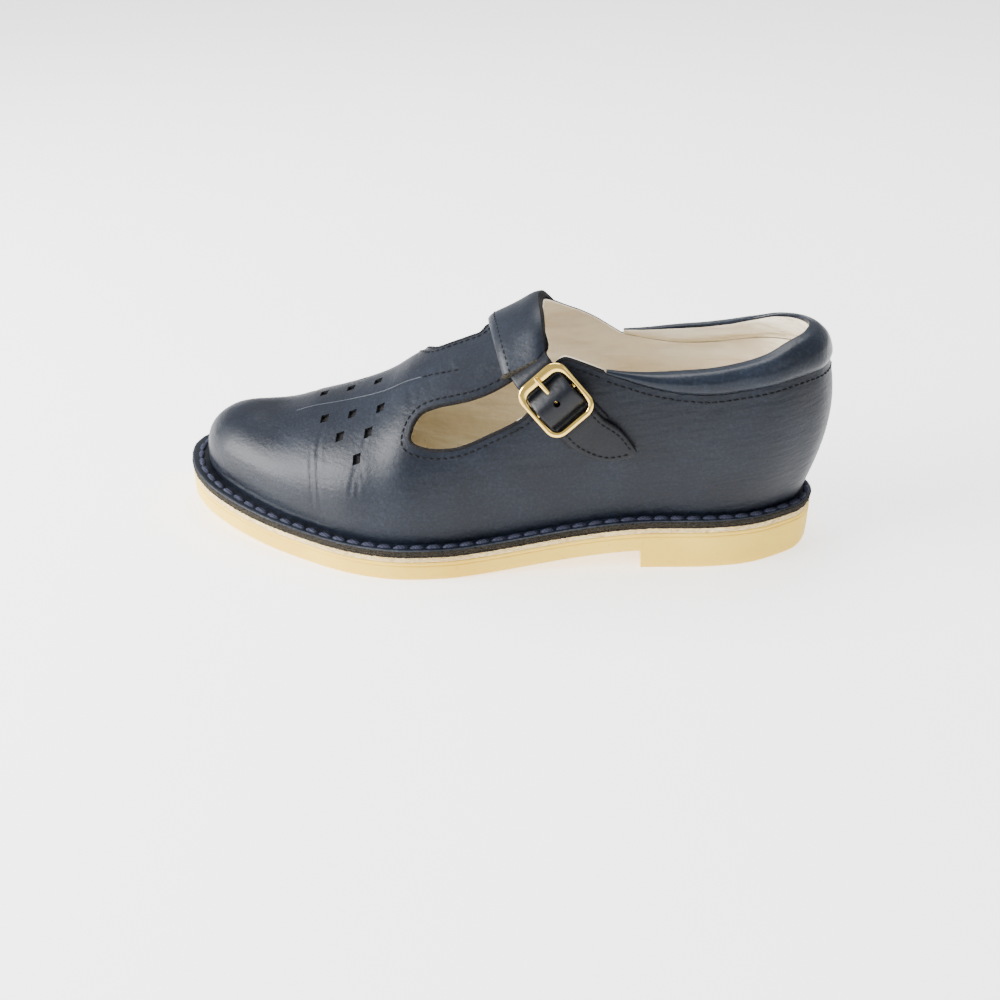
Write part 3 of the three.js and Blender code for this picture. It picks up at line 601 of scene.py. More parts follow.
def hole_places():
    places = []
    for side in (-1, 1):
        for row, count in enumerate(hole_rows):
            for i in range(count):
                off = side * (hole_first_row + row * hole_row_pitch)
                x = float(along(hole_centre_at)) + (i - (count - 1) / 2) * hole_pitch - hole_slant * off
                places.append((x, float(vamp_middle(x)) + off))
    return places


def eased(ring, weight, rounds):
    """A closed ring with its corners rounded where the weight is more than nothing."""
    for _ in range(rounds):
        middle = (np.roll(ring, 1, axis=0) + np.roll(ring, -1, axis=0)) / 2
        ring = ring + 0.5 * weight[:, None] * (middle - ring)
    return ring


def shell(side_count, fan_count, levels, outside, inside):
    """Hollow shell between two offsets of the last, joined along its foot."""
    spokes = all_spokes(side_count, fan_count)
    n = len(spokes["at"])
    stop = math.pi / 2 - 0.02
    rings = []
    turn = np.abs(spokes["dx"]) * (spokes["dx"] < 0)
    ease = smooth(spokes["at"], *toe_ease_span) * (1 - smooth(turn, *toe_turn_span))
    rounds = int(2 * (toe_ease / (sole_length * (toe_centre_at - heel_centre_at) / side_count)) ** 2)
    for offset in (outside, inside):
        foot = last_points(spokes, np.zeros(n), offset)
        foot[:, 2] -= foot_drop
        rings.append(foot)
        for k in range(levels + 1):
            ring = last_points(spokes, np.full(n, stop * (k / levels) ** 1.25), offset)
            rings.append(eased(ring, ease * smooth(k, 0, 0.12 * levels), rounds))
    points = np.concatenate(rings)
    rows = levels + 2
    faces = grid_faces(rows, n, wrap=True)
    faces += strip_cap((rows - 1) * n, n, True)
    start = rows * n
    faces += grid_faces(rows, n, start=start, wrap=True, flip=True)
    faces += strip_cap(start + (rows - 1) * n, n, False)
    outer_faces = len(faces) // 2
    for j in range(n):
        k = (j + 1) % n
        faces.append((k, j, start + j, start + k))
    kinds = np.ones(len(faces), dtype=int)
    kinds[:outer_faces] = 0
    return points, faces, kinds


def in_frame(u, v, n):
    return (FRAME["point"] + np.multiply.outer(u, FRAME["u"]) + np.multiply.outer(v, FRAME["v"])
            + np.multiply.outer(n, FRAME["n"]))


def buckle_frame():
    """The buckle's own frame: u runs down the strap, v across it, n away from the foot."""
    x = float(along(buckle_at))
    z = buckle_up * instep_height
    normal = wall_normal(x, -1, z)[0]
    point = over_wall(x, -1, z, buckle_lift)[0]
    run = 5
    rise = run * buckle_slope * 2
    down = unit(wall_at(x + run, -1, z - rise)[0] - wall_at(x - run, -1, z + rise)[0])
    u = unit(down - normal * np.dot(down, normal))
    return {"point": point, "u": u, "v": np.cross(normal, u), "n": normal}


FRAME = buckle_frame()


def strap_line():
    """Stations of the strap: centre, across and share of the width."""
    half = strap_thickness / 2
    stations = []
    for at, across in STRAP_TOP:
        x = float(along(at))
        a = across * instep_height
        stations.append([over_skin(x, a, gap + half)[0], skin_normal(x, a)[0], 1.0])
    under = -buckle_height / 2 - 2 * gap - half
    over = ring_radius + gap + half
    low = -buckle_length / 2 + buckle_front_bar
    high = buckle_length / 2 - buckle_bar
    climb = under + (over - under) * 2 / 3
    local = [(-buckle_length / 2 - gap, under), (low + half, under), (0.5 * low, climb), (0, over),
             (0.5 * high, climb), (high - half, under), (buckle_length / 2 + 2 * gap, under)]
    first = len(stations)
    for u, n in local:
        stations.append([in_frame(u, 0, n), FRAME["n"], 1.0])
    last = len(stations)
    heights = {}
    for at, up, lift, narrow in STRAP_TAIL:
        x = float(along(at))
        z = up * instep_height
        heights[len(stations)] = lift + gap + half
        stations.append([over_wall(x, -1, z, lift + gap + half)[0], wall_normal(x, -1, z)[0], narrow])
    line = []
    for i, (centre, normal, narrow) in enumerate(stations):
        ahead = stations[min(len(stations) - 1, i + 1)][0]
        behind = stations[max(0, i - 1)][0]
        tangent = unit(ahead - behind)
        across = FRAME["v"] if first <= i < last else unit(np.cross(normal, tangent))
        if i in heights:
            centre, across = on_wall(centre, normal, across, strap_width * narrow / 2, heights[i])
        line.append((centre, across, narrow))
    return line


def on_wall(centre, normal, across, half, height):
    """Centre and direction of a tail station with both its edges at one height over the quarter."""
    root = centre - normal * height
    low = root - across * half
    high = root + across * half
    low = over_wall(low[0], -1, low[2], height)[0]
    high = over_wall(high[0], -1, high[2], height)[0]
    return (low + high) / 2, unit(high - low)


def ribbon_frames(stations, width, per_span):
    """Middle line of a band with its sideways and upward unit vectors and its half widths."""
    edges = [catmull([c + a * (side * width * w / 2) for c, a, w in stations], per_span) for side in (-1, 1)]
    middle = (edges[0] + edges[1]) / 2
    tangent = unit(np.gradient(middle, axis=0))
    across = edges[1] - edges[0]
    half = np.linalg.norm(across, axis=1) / 2
    up = unit(np.cross(across, tangent))
    return middle, unit(across), up, half


def band(frames, thickness, round_share):
    """Closed band with rounded edges along a line of frames."""
    phi = np.arange(band_sides) * 2 * math.pi / band_sides
    side = np.sign(np.cos(phi)) * np.abs(np.cos(phi)) ** round_share
    tall = np.sign(np.sin(phi)) * np.abs(np.sin(phi)) ** 0.55
    rings = []
    for middle, across, up, half in zip(*frames):
        rings.append(middle + np.outer(side * half, across) + np.outer(tall * thickness / 2, up))
    return loft(rings)


def band_kinds(faces, stations):
    """Material of a band's faces: 1 on its two cut edges and its ends."""
    kinds = np.ones(len(faces), dtype=int)
    middle = (np.arange(band_sides) + 0.5) * 2 * math.pi / band_sides
    kinds[:(stations - 1) * band_sides] = np.tile(np.abs(np.cos(middle)) > 0.75, stations - 1)
    return kinds


WHITE = (1.0, 1.0, 1.0)


class Look:
    """The nodes of one material, on the object's own coordinates."""

    def __init__(self, name):
        self.material = bpy.data.materials.new(name)
        self.material.use_nodes = True
        self.nodes = self.material.node_tree.nodes
        self.links = self.material.node_tree.links
        self.place = self.nodes.new("ShaderNodeTexCoord").outputs["Object"]

    def fill(self, node, inputs):
        """Gives each input of a node a value or the output of another node."""
        for key, value in inputs.items():
            if isinstance(value, bpy.types.NodeSocket):
                self.links.new(value, node.inputs[key])
            else:
                node.inputs[key].default_value = value

    def add(self, kind, inputs, **settings):
        node = self.nodes.new("ShaderNode" + kind)
        for key, value in settings.items():
            setattr(node, key, value)
        self.fill(node, inputs)
        return node.outputs

    def finish(self, inputs):
        self.fill(self.nodes["Principled BSDF"], inputs)
        return self.material

    def noise(self, scale, detail=4, stretch=None, place=None):
        place = self.place if place is None else place
        if stretch is not None:
            place = self.add("Mapping", {"Scale": stretch, "Vector": place})["Vector"]
        return self.add("TexNoise", {"Scale": scale, "Detail": detail, "Vector": place})["Fac"]

    def ramp(self, value, stops):
        node = self.nodes.new("ShaderNodeValToRGB")
        elements = node.color_ramp.elements
        while len(elements) < len(stops):
            elements.new(0.5)
        for element, (position, colour) in zip(elements, stops):
            element.position = position
            element.color = (*colour, 1)
        self.links.new(value, node.inputs["Fac"])
        return node.outputs["Color"]

    def mixed(self, factor, a, b, mode="MULTIPLY"):
        inputs = {"Factor": factor, 6: a, 7: b}
        return self.add("Mix", inputs, data_type="RGBA", blend_type=mode)[2]

    def bump(self, height, depth, strength, before=None):
        inputs = {"Strength": strength, "Distance": depth, "Height": height}
        if before is not None:
            inputs["Normal"] = before
        return self.add("Bump", inputs)["Normal"]

    def spread(self, value, low, high):
        return self.add("MapRange", {"To Min": low, "To Max": high, "Value": value})["Result"]


def drawn_lines(look):
    """Fine lines that climb towards the heel, on the rear part of the shoe only."""
    tilted = look.add("Mapping", {"Rotation": (0, 0.2, 0), "Vector": look.place})["Vector"]
    lines = look.noise(560, 3, (0.07, 0.3, 1.0), tilted)
    station = look.add("SeparateXYZ", {"Vector": look.place})["X"]
    rear = look.add("MapRange", {"From Min": 0.025, "From Max": 0.065, "Value": station})["Result"]
    return look.mixed(rear, (0.5, 0.5, 0.5, 1), lines, "MIX")


def leather(name, dark, light, gloss=(0.36, 0.5), folds=0.0, cracks=None):
    """Smooth dyed leather: uneven dye, fine pores, soft folds and rubbed, paler patches."""
    look = Look(name)
    cloud = look.noise(38, 5)
    base = look.ramp(cloud, [(0.34, dark), (0.68, light)])
    flecked = look.ramp(look.noise(900, 3), [(0.3, (0.6, 0.6, 0.62)), (0.55, WHITE), (0.75, (1.7, 1.7, 1.65))])
    pores = look.add("TexVoronoi", {"Scale": 1500, "Vector": look.place}, feature="DISTANCE_TO_EDGE")
    normal = look.bump(pores["Distance"], 0.00006, 0.55)
    normal = look.bump(look.noise(700, 4), 0.00018, 0.6, normal)
    if folds:
        normal = look.bump(look.noise(60, 4, (1.0, 1.0, 5.0)), folds, 0.6, normal)
        normal = look.bump(drawn_lines(look), 0.0004, 0.5, normal)
    if cracks:
        normal = look.bump(look.noise(130, 5, cracks), 0.00022, 0.5, normal)
    return look.finish({
        "Base Color": look.mixed(0.8, base, flecked),
        "Roughness": look.spread(cloud, *gloss),
        "Specular IOR Level": 0.23,
        "Normal": normal,
    })


def lining_leather(name, dark, light, depth=0.0005, scale=300, wrinkle=0.0035):
    """Pale unfinished leather with a pebbled surface, faint stains, and folds whose troughs get painted shade.
    """
    look = Look(name)
    folds = look.noise(95, 3, (0.3, 1.0, 1.5))
    base = look.ramp(look.noise(26, 5), [(0.3, dark), (0.7, light)])
    stained = look.ramp(look.noise(9, 3), [(0.4, WHITE), (0.75, (0.95, 0.82, 0.74))])
    # Painted shade: the colour darkens where the fold noise dips, in the troughs of the folds.
    painted_fold_shade = look.ramp(folds, [(0.36, (0.8, 0.76, 0.7)), (0.56, WHITE)])
    normal = look.bump(look.noise(scale, 5), depth, 0.9)
    return look.finish({
        "Base Color": look.mixed(0.7, look.mixed(0.8, base, stained), painted_fold_shade),
        "Roughness": 0.78,
        "Normal": look.bump(folds, wrinkle, 0.9, normal),
    })


def cut_edge(name, dark, light):
    """Dyed raw edge of leather: dark and fibrous."""
    look = Look(name)
    fibre = look.noise(1300, 5, (1.0, 1.0, 3.0))
    return look.finish({
        "Base Color": look.ramp(fibre, [(0.35, dark), (0.72, light)]),
        "Roughness": 0.85,
        "Specular IOR Level": 0.12,
        "Normal": look.bump(fibre, 0.0004, 0.8),
    })


def thread(name, dark, light, gloss):
    """Twisted thread: slanting plies over the stitch."""
    look = Look(name)
    fuzz = look.noise(1600, 3)
    wave = {"Scale": 420, "Distortion": 2.0, "Vector": look.place}
    plies = look.add("TexWave", wave, bands_direction="DIAGONAL")
    return look.finish({
        "Base Color": look.ramp(fuzz, [(0.3, dark), (0.75, light)]),
        "Roughness": gloss,
        "Specular IOR Level": 0.2,
        "Normal": look.bump(fuzz, 0.0001, 0.6, look.bump(plies["Fac"], 0.0002, 0.7)),
    })


def rubber(name, dark, light):
    """Pale crepe-like rubber: warm, slightly waxy, with moulding marks and specks of dirt."""
    look = Look(name)
    cloud = look.noise(30, 5)
    base = look.ramp(cloud, [(0.3, dark), (0.7, light)])
    marks = look.ramp(look.noise(240, 6), [(0.0, WHITE), (0.66, WHITE), (0.78, (0.72, 0.62, 0.48))])
    normal = look.bump(look.noise(90, 4, (1.0, 1.0, 2.2)), 0.0005, 0.6)
    return look.finish({
        "Base Color": look.mixed(0.8, base, marks),
        "Roughness": look.spread(cloud, 0.5, 0.66),
        "Specular IOR Level": 0.25,
        "Subsurface Weight": 0.12,
        "Subsurface Radius": (0.004, 0.003, 0.0015),
        "Normal": look.bump(look.noise(700, 3), 0.0001, 0.5, normal),
    })


def rough_board(name, dark, light):
    """Rough cut edge of a midsole: layered fibres, stained darker in places."""
    look = Look(name)
    fibre = look.noise(520, 6, (1.0, 1.0, 4.0))
    base = look.ramp(fibre, [(0.3, dark), (0.6, light)])
    stained = look.ramp(look.noise(55, 4), [(0.35, (0.72, 0.66, 0.6)), (0.6, WHITE)])
    normal = look.bump(fibre, 0.0009, 0.9)
    return look.finish({
        "Base Color": look.mixed(0.8, base, stained),
        "Roughness": 0.9,
        "Specular IOR Level": 0.15,
        "Normal": look.bump(look.noise(150, 4), 0.0012, 0.6, normal),
    })


def polished(name, colour, bright):
    """Polished plated metal with faint handling marks."""
    look = Look(name)
    smear = look.noise(110, 5)
    return look.finish({
        "Base Color": look.ramp(smear, [(0.3, colour), (0.75, bright)]),
        "Metallic": 1.0,
        "Roughness": look.spread(smear, 0.07, 0.17),
        "Normal": look.bump(look.noise(1500, 2, (1.0, 0.2, 1.0)), 0.00002, 0.25),
    })


def floor_material():
    look = Look("floor_pale")
    return look.finish({
        "Base Color": look.ramp(look.noise(6, 3), [(0.3, (0.93, 0.925, 0.92)), (0.7, (0.96, 0.955, 0.95))]),
        "Roughness": 0.6,
        "Emission Color": (1.0, 1.0, 1.0, 1.0),
        "Emission Strength": 1.5,
    })


NAVY_DARK = (0.0035, 0.0052, 0.0098)
NAVY = (0.0075, 0.0108, 0.0182)
STRAP_DARK = (0.0018, 0.0026, 0.0046)
STRAP_NAVY = (0.004, 0.0054, 0.0088)
LOOKS = {
    "leather": leather("navy_leather", NAVY_DARK, NAVY, folds=0.0004),
    "strap": leather("navy_strap_leather", STRAP_DARK, STRAP_NAVY, gloss=(0.32, 0.46)),
    "collar": leather("collar_leather", (0.005, 0.0075, 0.013), (0.011, 0.0155, 0.025), gloss=(0.24, 0.36),
                      cracks=(6.0, 1.0, 1.0)),
    "edge": cut_edge("black_cut_edge", (0.004, 0.004, 0.005), (0.02, 0.019, 0.02)),
    "suede": cut_edge("leather_back", (0.02, 0.022, 0.03), (0.05, 0.052, 0.06)),
    "lining": lining_leather("pigskin_lining", (0.84, 0.75, 0.57), (0.95, 0.89, 0.73)),
    "insole": lining_leather("insole_cream", (0.9, 0.85, 0.62), (0.96, 0.93, 0.74), depth=0.00012, scale=420,
                             wrinkle=0.0006),
    "thread": thread("navy_thread", (0.009, 0.0105, 0.022), (0.04, 0.043, 0.072), gloss=0.75),
    "fine_thread": thread("fine_dark_thread", (0.0015, 0.0018, 0.0025), (0.005, 0.0055, 0.008), gloss=0.8),
    "fuzz": cut_edge("black_fuzzy_edge", (0.0025, 0.0025, 0.0025), (0.05, 0.042, 0.03)),
    # Paler leather for the ledge's worn bevel; on the vamp's pressed line it also paints a highlight.
    "bevel": leather("worn_bevel_and_painted_highlight", (0.018, 0.022, 0.032), (0.05, 0.055, 0.068), gloss=(0.5, 0.65)),
    "midsole": rough_board("midsole_edge", (0.55, 0.36, 0.13), (0.92, 0.72, 0.36)),
    "outsole": rubber("pale_rubber", (0.77, 0.49, 0.05), (0.85, 0.59, 0.085)),
    "brass": polished("polished_brass", (0.82, 0.56, 0.14), (0.9184, 0.6272, 0.1568)),
}


def outsole_piece():
    """Outsole with its integral heel, rounded edges and a faint parting line."""
    count = 720

    def top(at):
        return seat_height(at) - midsole_thickness - gap

    def under(at):
        return top(at) - outsole_thickness

    # The heel's breast is one sharp step, so the ring gets two points there
    breast_at = heel_length / sole_length
    ring = resample(SOLE, count, closed=True)
    at = share_of(ring[:, 0])
    extra = []
    for i in range(count):
        j = (i + 1) % count
        if (at[i] - breast_at) * (at[j] - breast_at) < 0:
            t = (breast_at - at[i]) / (at[j] - at[i])
            extra.append((i + 1, ring[i] + (ring[j] - ring[i]) * t))
    for i, point in sorted(extra, key=lambda e: -e[0]):
        heel_first = share_of(ring[(i - 1) % len(ring)][0]) < breast_at
        nudge = 0.12 if heel_first else -0.12
        pair = [point + [nudge, 0], point - [nudge, 0]]
        ring = np.insert(ring, i, pair, axis=0)
    at = share_of(ring[:, 0])
    normal = unit(np.roll(ring, -1, axis=0) - np.roll(ring, 1, axis=0))
    inward = np.column_stack([normal[:, 1], -normal[:, 0]])
    heel = at < breast_at
    low = np.where(heel, 0.0, under(at))
    high = top(at)
    tall = high - low
    levels = [
        (sole_round, low), (0.45, low + 0.35), (0.1, low + 0.1 * tall), (0.0, low + 0.3 * tall),
        (0.0, low + 0.5 * tall), (0.05, high - 2.1), (0.1, high - 1.75), (0.5, high - 1.5), (0.15, high - 1.2),
        (0.1, high - 0.5), (0.4, high),
    ]
    rings = [np.column_stack([ring + inward * step, height]) for step, height in levels]
    n = len(ring)
    points = np.concatenate(rings)
    faces = grid_faces(len(rings), n, wrap=True)
    base = (len(rings) - 1) * n
    faces += sole_cap(rings[0], 0, True) + sole_cap(rings[-1], base, False)
    obj = new_object("outsole_rubber", points, faces, ["outsole"], smooth_angle=50)
    return finish_piece(obj, "outsole_rubber", "outsole")


def sole_cap(ring, base, flip):
    """Cap of a sole ring: strips between points at the same station on both sides."""
    n = len(ring)
    rear = int(np.argmax(ring[:, 0]))
    front = int(np.argmin(ring[:, 0]))
    first = [(rear + i) % n for i in range(((front - rear) % n) + 1)]
    second = [(rear - i) % n for i in range(((rear - front) % n) + 1)]
    faces = []
    i = j = 0
    while i + 1 < len(first) or j + 1 < len(second):
        step_first = j + 1 >= len(second) or (
            i + 1 < len(first) and ring[first[i + 1], 0] >= ring[second[j + 1], 0])
        if step_first:
            face = (first[i], first[i + 1], second[j])
            i += 1
        else:
            face = (first[i], second[j + 1], second[j])
            j += 1
        if len(set(face)) == 3:
            face = tuple(base + k for k in face)
            faces.append(face[::-1] if flip else face)
    return faces


def ring_stack(name, levels, materials, kinds, rough):
    """Plate round the sole's outline from levels of (inset, height over the upper side of the midsole)."""
    count = 900
    rings = []
    for k, (step, rise) in enumerate(levels):
        ring = resample(inset(SOLE, step), count, closed=True)
        z = seat_height(share_of(ring[:, 0])) + rise
        if 0 < k < len(levels) - 1:
            ring = ring + unit(ring - ring.mean(axis=0)) * rng.normal(0, rough, (count, 1))
        rings.append(np.column_stack([ring, z]))
    faces = grid_faces(len(rings), count, wrap=True)
    low_cap = sole_cap(rings[0], 0, True)
    high_cap = sole_cap(rings[-1], (len(rings) - 1) * count, False)
    kind = [k for k in kinds for _ in range(count)] + [0] * (len(low_cap) + len(high_cap))
    points = np.concatenate(rings)
    return new_object(name, points, faces + low_cap + high_cap, materials, kind, 50)


def midsole_piece():
    """Pale board with a layer of black fibre on top."""
    foot = -midsole_thickness
    levels = [(gap, foot), (gap - 0.1, foot + 0.5), (gap, foot + 1.2), (gap + 0.1, foot + 2), (gap, -0.5),
              (gap + 0.2, 0)]
    obj = ring_stack("midsole_board", levels, ["midsole", "fuzz"], [0, 0, 0, 1, 1], 0.14)
    return finish_piece(obj, "midsole_leather", "midsole")


def ledge_piece():
    """The upper's turned-out edge on the sole: navy on top, a worn bevel and a black fuzzy cut side."""
    top = gap + flange_thickness
    levels = [(0.1, gap), (0.0, gap + 0.5), (0.05, gap + 1.0), (0.1, top - 0.75), (0.35, top - 0.35),
              (0.9, top - 0.05), (1.6, top), (3.4, top - 0.25), (5.0, top - 0.3)]
    materials = ["leather", "fuzz", "bevel"]
    obj = ring_stack("stitched_ledge", levels, materials, [1, 1, 1, 1, 2, 0, 0, 0], 0.09)
    return finish_piece(obj, "upper_leather")


def insole_piece():
    """Insole dished for the heel and rising a little at its rim."""
    spokes = all_spokes(120, 24)
    r = spokes["reach"] - wall - 1.6 * gap
    x = spokes["x"] + spokes["dx"] * r
    base = seat_height(share_of(x)) + gap
    rings = []
    for scale, drop in ((1, insole_thickness), (1, 0.7), (0.985, 0.1), (0.9, 0.05), (0.7, 0.3), (0.45, 0.5),
                        (0.2, 0.55)):
        px = spokes["x"] + spokes["dx"] * r * scale
        py = spokes["y"] + spokes["dy"] * r * scale
        z = seat_height(share_of(px)) + gap if scale < 1 else base
        rings.append(np.column_stack([px, py, z + insole_thickness - drop]))
    n = len(x)
    points = np.concatenate(rings)
    faces = grid_faces(len(rings), n, wrap=True)
    faces += strip_cap((len(rings) - 1) * n, n, True) + strip_cap(0, n, False)
    obj = new_object("insole_sock", points, faces, ["insole"])
    return finish_piece(obj, "insole_leather", "insole")


crease_narrowing = 0.72
lasting_ridge = 2.2
lasting_ridge_rise = 0.35
lasting_ridge_width = 0.9

# Creases on the skin: points of (share of the length, mm over the skin from the ridge), then depth and width
CREASES = [
    ([(0.764, -34), (0.762, -42), (0.759, -51), (0.757, -60)], 0.36, 1.25),
    ([(0.748, -20), (0.754, -32), (0.75, -46), (0.744, -62)], 0.4, 1.25),
    ([(0.69, -46), (0.693, -52), (0.696, -60)], 0.34, 1.2),
    ([(0.687, -46), (0.686, -53), (0.685, -61)], 0.36, 1.2),
    ([(0.684, -46), (0.679, -51), (0.677, -56)], 0.26, 1.2),
    ([(0.675, -34), (0.681, -41)], 0.3, 1.2),
    ([(0.76, 14), (0.765, 26), (0.77, 40)], 0.5, 1.8),
    ([(0.74, 22), (0.742, 36), (0.748, 50)], 0.45, 1.8),
    ([(0.79, 8), (0.795, 24), (0.8, 40)], 0.35, 1.8),
    ([(0.62, -20), (0.615, -27), (0.608, -34)], 0.35, 1.4),
    ([(0.6, -14), (0.59, -22), (0.58, -30)], 0.35, 1.4),
    ([(0.575, -10), (0.568, -19), (0.558, -27)], 0.3, 1.3),
    ([(0.56, -12), (0.548, -20), (0.535, -26)], 0.28, 1.3),
    ([(0.3, -62), (0.25, -58), (0.19, -50), (0.14, -44)], 0.3, 1.3),
    ([(0.27, -72), (0.22, -66), (0.16, -58), (0.145, -55)], 0.28, 1.3),
    ([(0.24, -48), (0.2, -42), (0.15, -37)], 0.22, 1.1),
    ([(0.33, -80), (0.28, -78), (0.22, -76)], 0.22, 1.4),
    ([(0.3, 60), (0.24, 56), (0.17, 50)], 0.28, 1.4),
    ([(0.28, 74), (0.22, 70), (0.16, 64)], 0.28, 1.4),
    ([(0.46, 60), (0.42, 66), (0.36, 70)], 0.3, 1.8),
    ([(0.47, -66), (0.43, -72), (0.38, -76)], 0.3, 1.8),
]


def crease_lines():
    lines = []
    for points, depth, width in CREASES:
        line = resample(catmull([(float(along(at)), across) for at, across in points], 8), 16)
        lines.append((skin(line[:, 0], line[:, 1]), depth, width))
    return lines


def distance_to_line(points, line):
    """Distance of points from a line of short segments, and the share run along it."""
    best = np.full(len(points), 1e9)
    run = np.zeros(len(points))
    count = len(line) - 1
    for k in range(count):
        a, b = line[k], line[k + 1]
        ab = b - a
        t = np.clip(((points - a) @ ab) / max(ab @ ab, 1e-9), 0, 1)
        d = np.linalg.norm(points - a - t[:, None] * ab, axis=1)
        nearer = d < best
        best = np.where(nearer, d, best)
        run = np.where(nearer, (k + t) / count, run)
    return best, run


def toe_ridge_line():
    """Line round the toe just above the ledge, where the leather is drawn over the lasting edge."""
    spokes = all_spokes(60, 24)
    z = feather_height(share_of(spokes["x"] + spokes["dx"] * spokes["reach"])) + lasting_ridge
    line = wall_points(spokes, z, 0)
    keep = line[:, 0] < float(along(0.72))
    half = len(line) // 2
    return line[:half][keep[:half]], line[half:][keep[half:]]


def crease(obj):
    """Presses creases into the outer skin of the upper's mesh."""
    mesh = obj.data
    count = len(mesh.vertices)
    co = np.empty(count * 3)
    mesh.vertices.foreach_get("co", co)
    points = co.reshape(-1, 3) * 1000 + ORIGIN
    normals = np.empty(count * 3)
    mesh.vertices.foreach_get("normal", normals)
    normals = normals.reshape(-1, 3)
    move = np.zeros(count)
    for line, depth, width in crease_lines():
        box_low = line.min(axis=0) - 4 * width
        box_high = line.max(axis=0) + 4 * width
        near = np.where(((points > box_low) & (points < box_high)).all(axis=1))[0]
        if not len(near):
            continue
        d, run = distance_to_line(points[near], line)
        fade = smooth(run, 0, 0.25) * (1 - smooth(run, 0.7, 1))
        fade = np.maximum(fade, 0.15)
        width = crease_narrowing * width
        trough = -0.6 * depth * np.exp(-(d / width) ** 2)
        lip = 0.25 * depth * np.exp(-((d - 2 * width) / (0.9 * width)) ** 2)
        move[near] += (trough + lip) * fade
    for line in toe_ridge_line():
        near = np.where(points[:, 0] < line[:, 0].max() + 5)[0]
        d, run = distance_to_line(points[near], line)
        move[near] += lasting_ridge_rise * np.exp(-(d / lasting_ridge_width) ** 2)
    co = (points + normals * move[:, None] - ORIGIN) * 0.001
    mesh.vertices.foreach_set("co", co.ravel())
    mesh.update()


def upper_piece():
    """Outer leather of the upper, with its cut-outs and punched holes in black cut edges."""
    points, faces, kinds = shell(230, 28, 62, 0.0, -outer_leather)
    obj = new_object("upper_leather_shell", points, faces, ["leather", "suede", "edge"], kinds)
    trim_upper(obj, "edge")
    punch_holes(obj)
    crease(obj)
    shade(obj.data, 38)
    return finish_piece(obj, "upper_leather", "upper")


def trim_upper(obj, top_look):
    """Cuts the top line and the two cut-outs."""
    for side in (-1, 1):
        cut(obj, *top_cutter(side), top_look)
    for table in WINDOWS.values():
        cut(obj, *patch(*window_grid(table, 60, 12), -window_cut, window_cut), "edge")


def punch_holes(obj):
    for x, across in hole_places():
        u = np.array([[-0.5], [0.5]]) * hole_long + np.zeros((2, 2))
        v = np.array([[-0.5, 0.5]]) * hole_wide + np.zeros((2, 2))
        cut(obj, *patch(x + u, across + v, -window_cut, window_cut), "edge")


def lining_piece():
    points, faces, kinds = shell(90, 18, 40, -outer_leather - 0.05, -wall)
    obj = new_object("upper_lining", points, faces, ["edge", "lining"], kinds)
    trim_upper(obj, "lining")
    shade(obj.data, 38)
    return finish_piece(obj, "insole_leather")


def sleeve_piece():
    """Band over the end of the bar, open on the outer side for the strap."""
    rows, columns = 70, 40
    share = np.linspace(SLEEVE["at"][0], SLEEVE["at"][-1], rows)
    front = along(column(SLEEVE, "front", share))
    rear = along(column(SLEEVE, "rear", share))
    j = np.linspace(0, 1, columns)
    x = front[:, None] + (rear - front)[:, None] * j[None]
    across = np.repeat(share[:, None] * instep_height, columns, axis=1)
    raised = np.repeat(column(SLEEVE, "raise", share)[:, None], columns, axis=1)
    edge = 1 - sleeve_edge_drop * np.abs(2 * j[None] - 1) ** 6
    flat = 0.15
    high = flat + (sleeve_height - flat) * raised * edge
    points, faces = patch(x, across, -0.4, high)
    obj = new_object("strap_sleeve", points, faces, ["leather", "edge"], rim_kinds(faces, rows, columns))
    frames = ribbon_frames(strap_line(), strap_width + 2 * gap, 10)
    frames = tuple(part[:40] for part in frames)
    points, faces = band(frames, strap_thickness + 2 * gap, 0.2)
    cut(obj, points, faces, "edge")
    shade(obj.data, 40)
    return finish_piece(obj, "upper_leather")


def collar_spokes(side_steps, fan_steps):
    """Spokes under the collar, their places along the length and which are on the outer side."""
    sides = [np.linspace(COLLAR[s]["at"][-1], heel_centre_at, side_steps, endpoint=False) for s in (-1, 1)]
    at = np.concatenate([sides[0], np.full(fan_steps + 1, heel_centre_at), sides[1][::-1]])
    angle = np.concatenate([
        np.full(side_steps, -math.pi / 2),
        np.linspace(-math.pi / 2, math.pi / 2, fan_steps + 1),
        np.full(side_steps, math.pi / 2),
    ])
    spokes = make_spokes(at, angle)
    level = np.full(len(at), COLLAR[-1]["seam"][0] * instep_height)
    place = np.maximum(0, share_of(wall_points(spokes, level, 0)[:, 0]))
    return spokes, place, spokes["dy"] < 0


def collar_height(key, place, outer):
    return np.where(outer, column(COLLAR[-1], key, place), column(COLLAR[1], key, place)) * instep_height


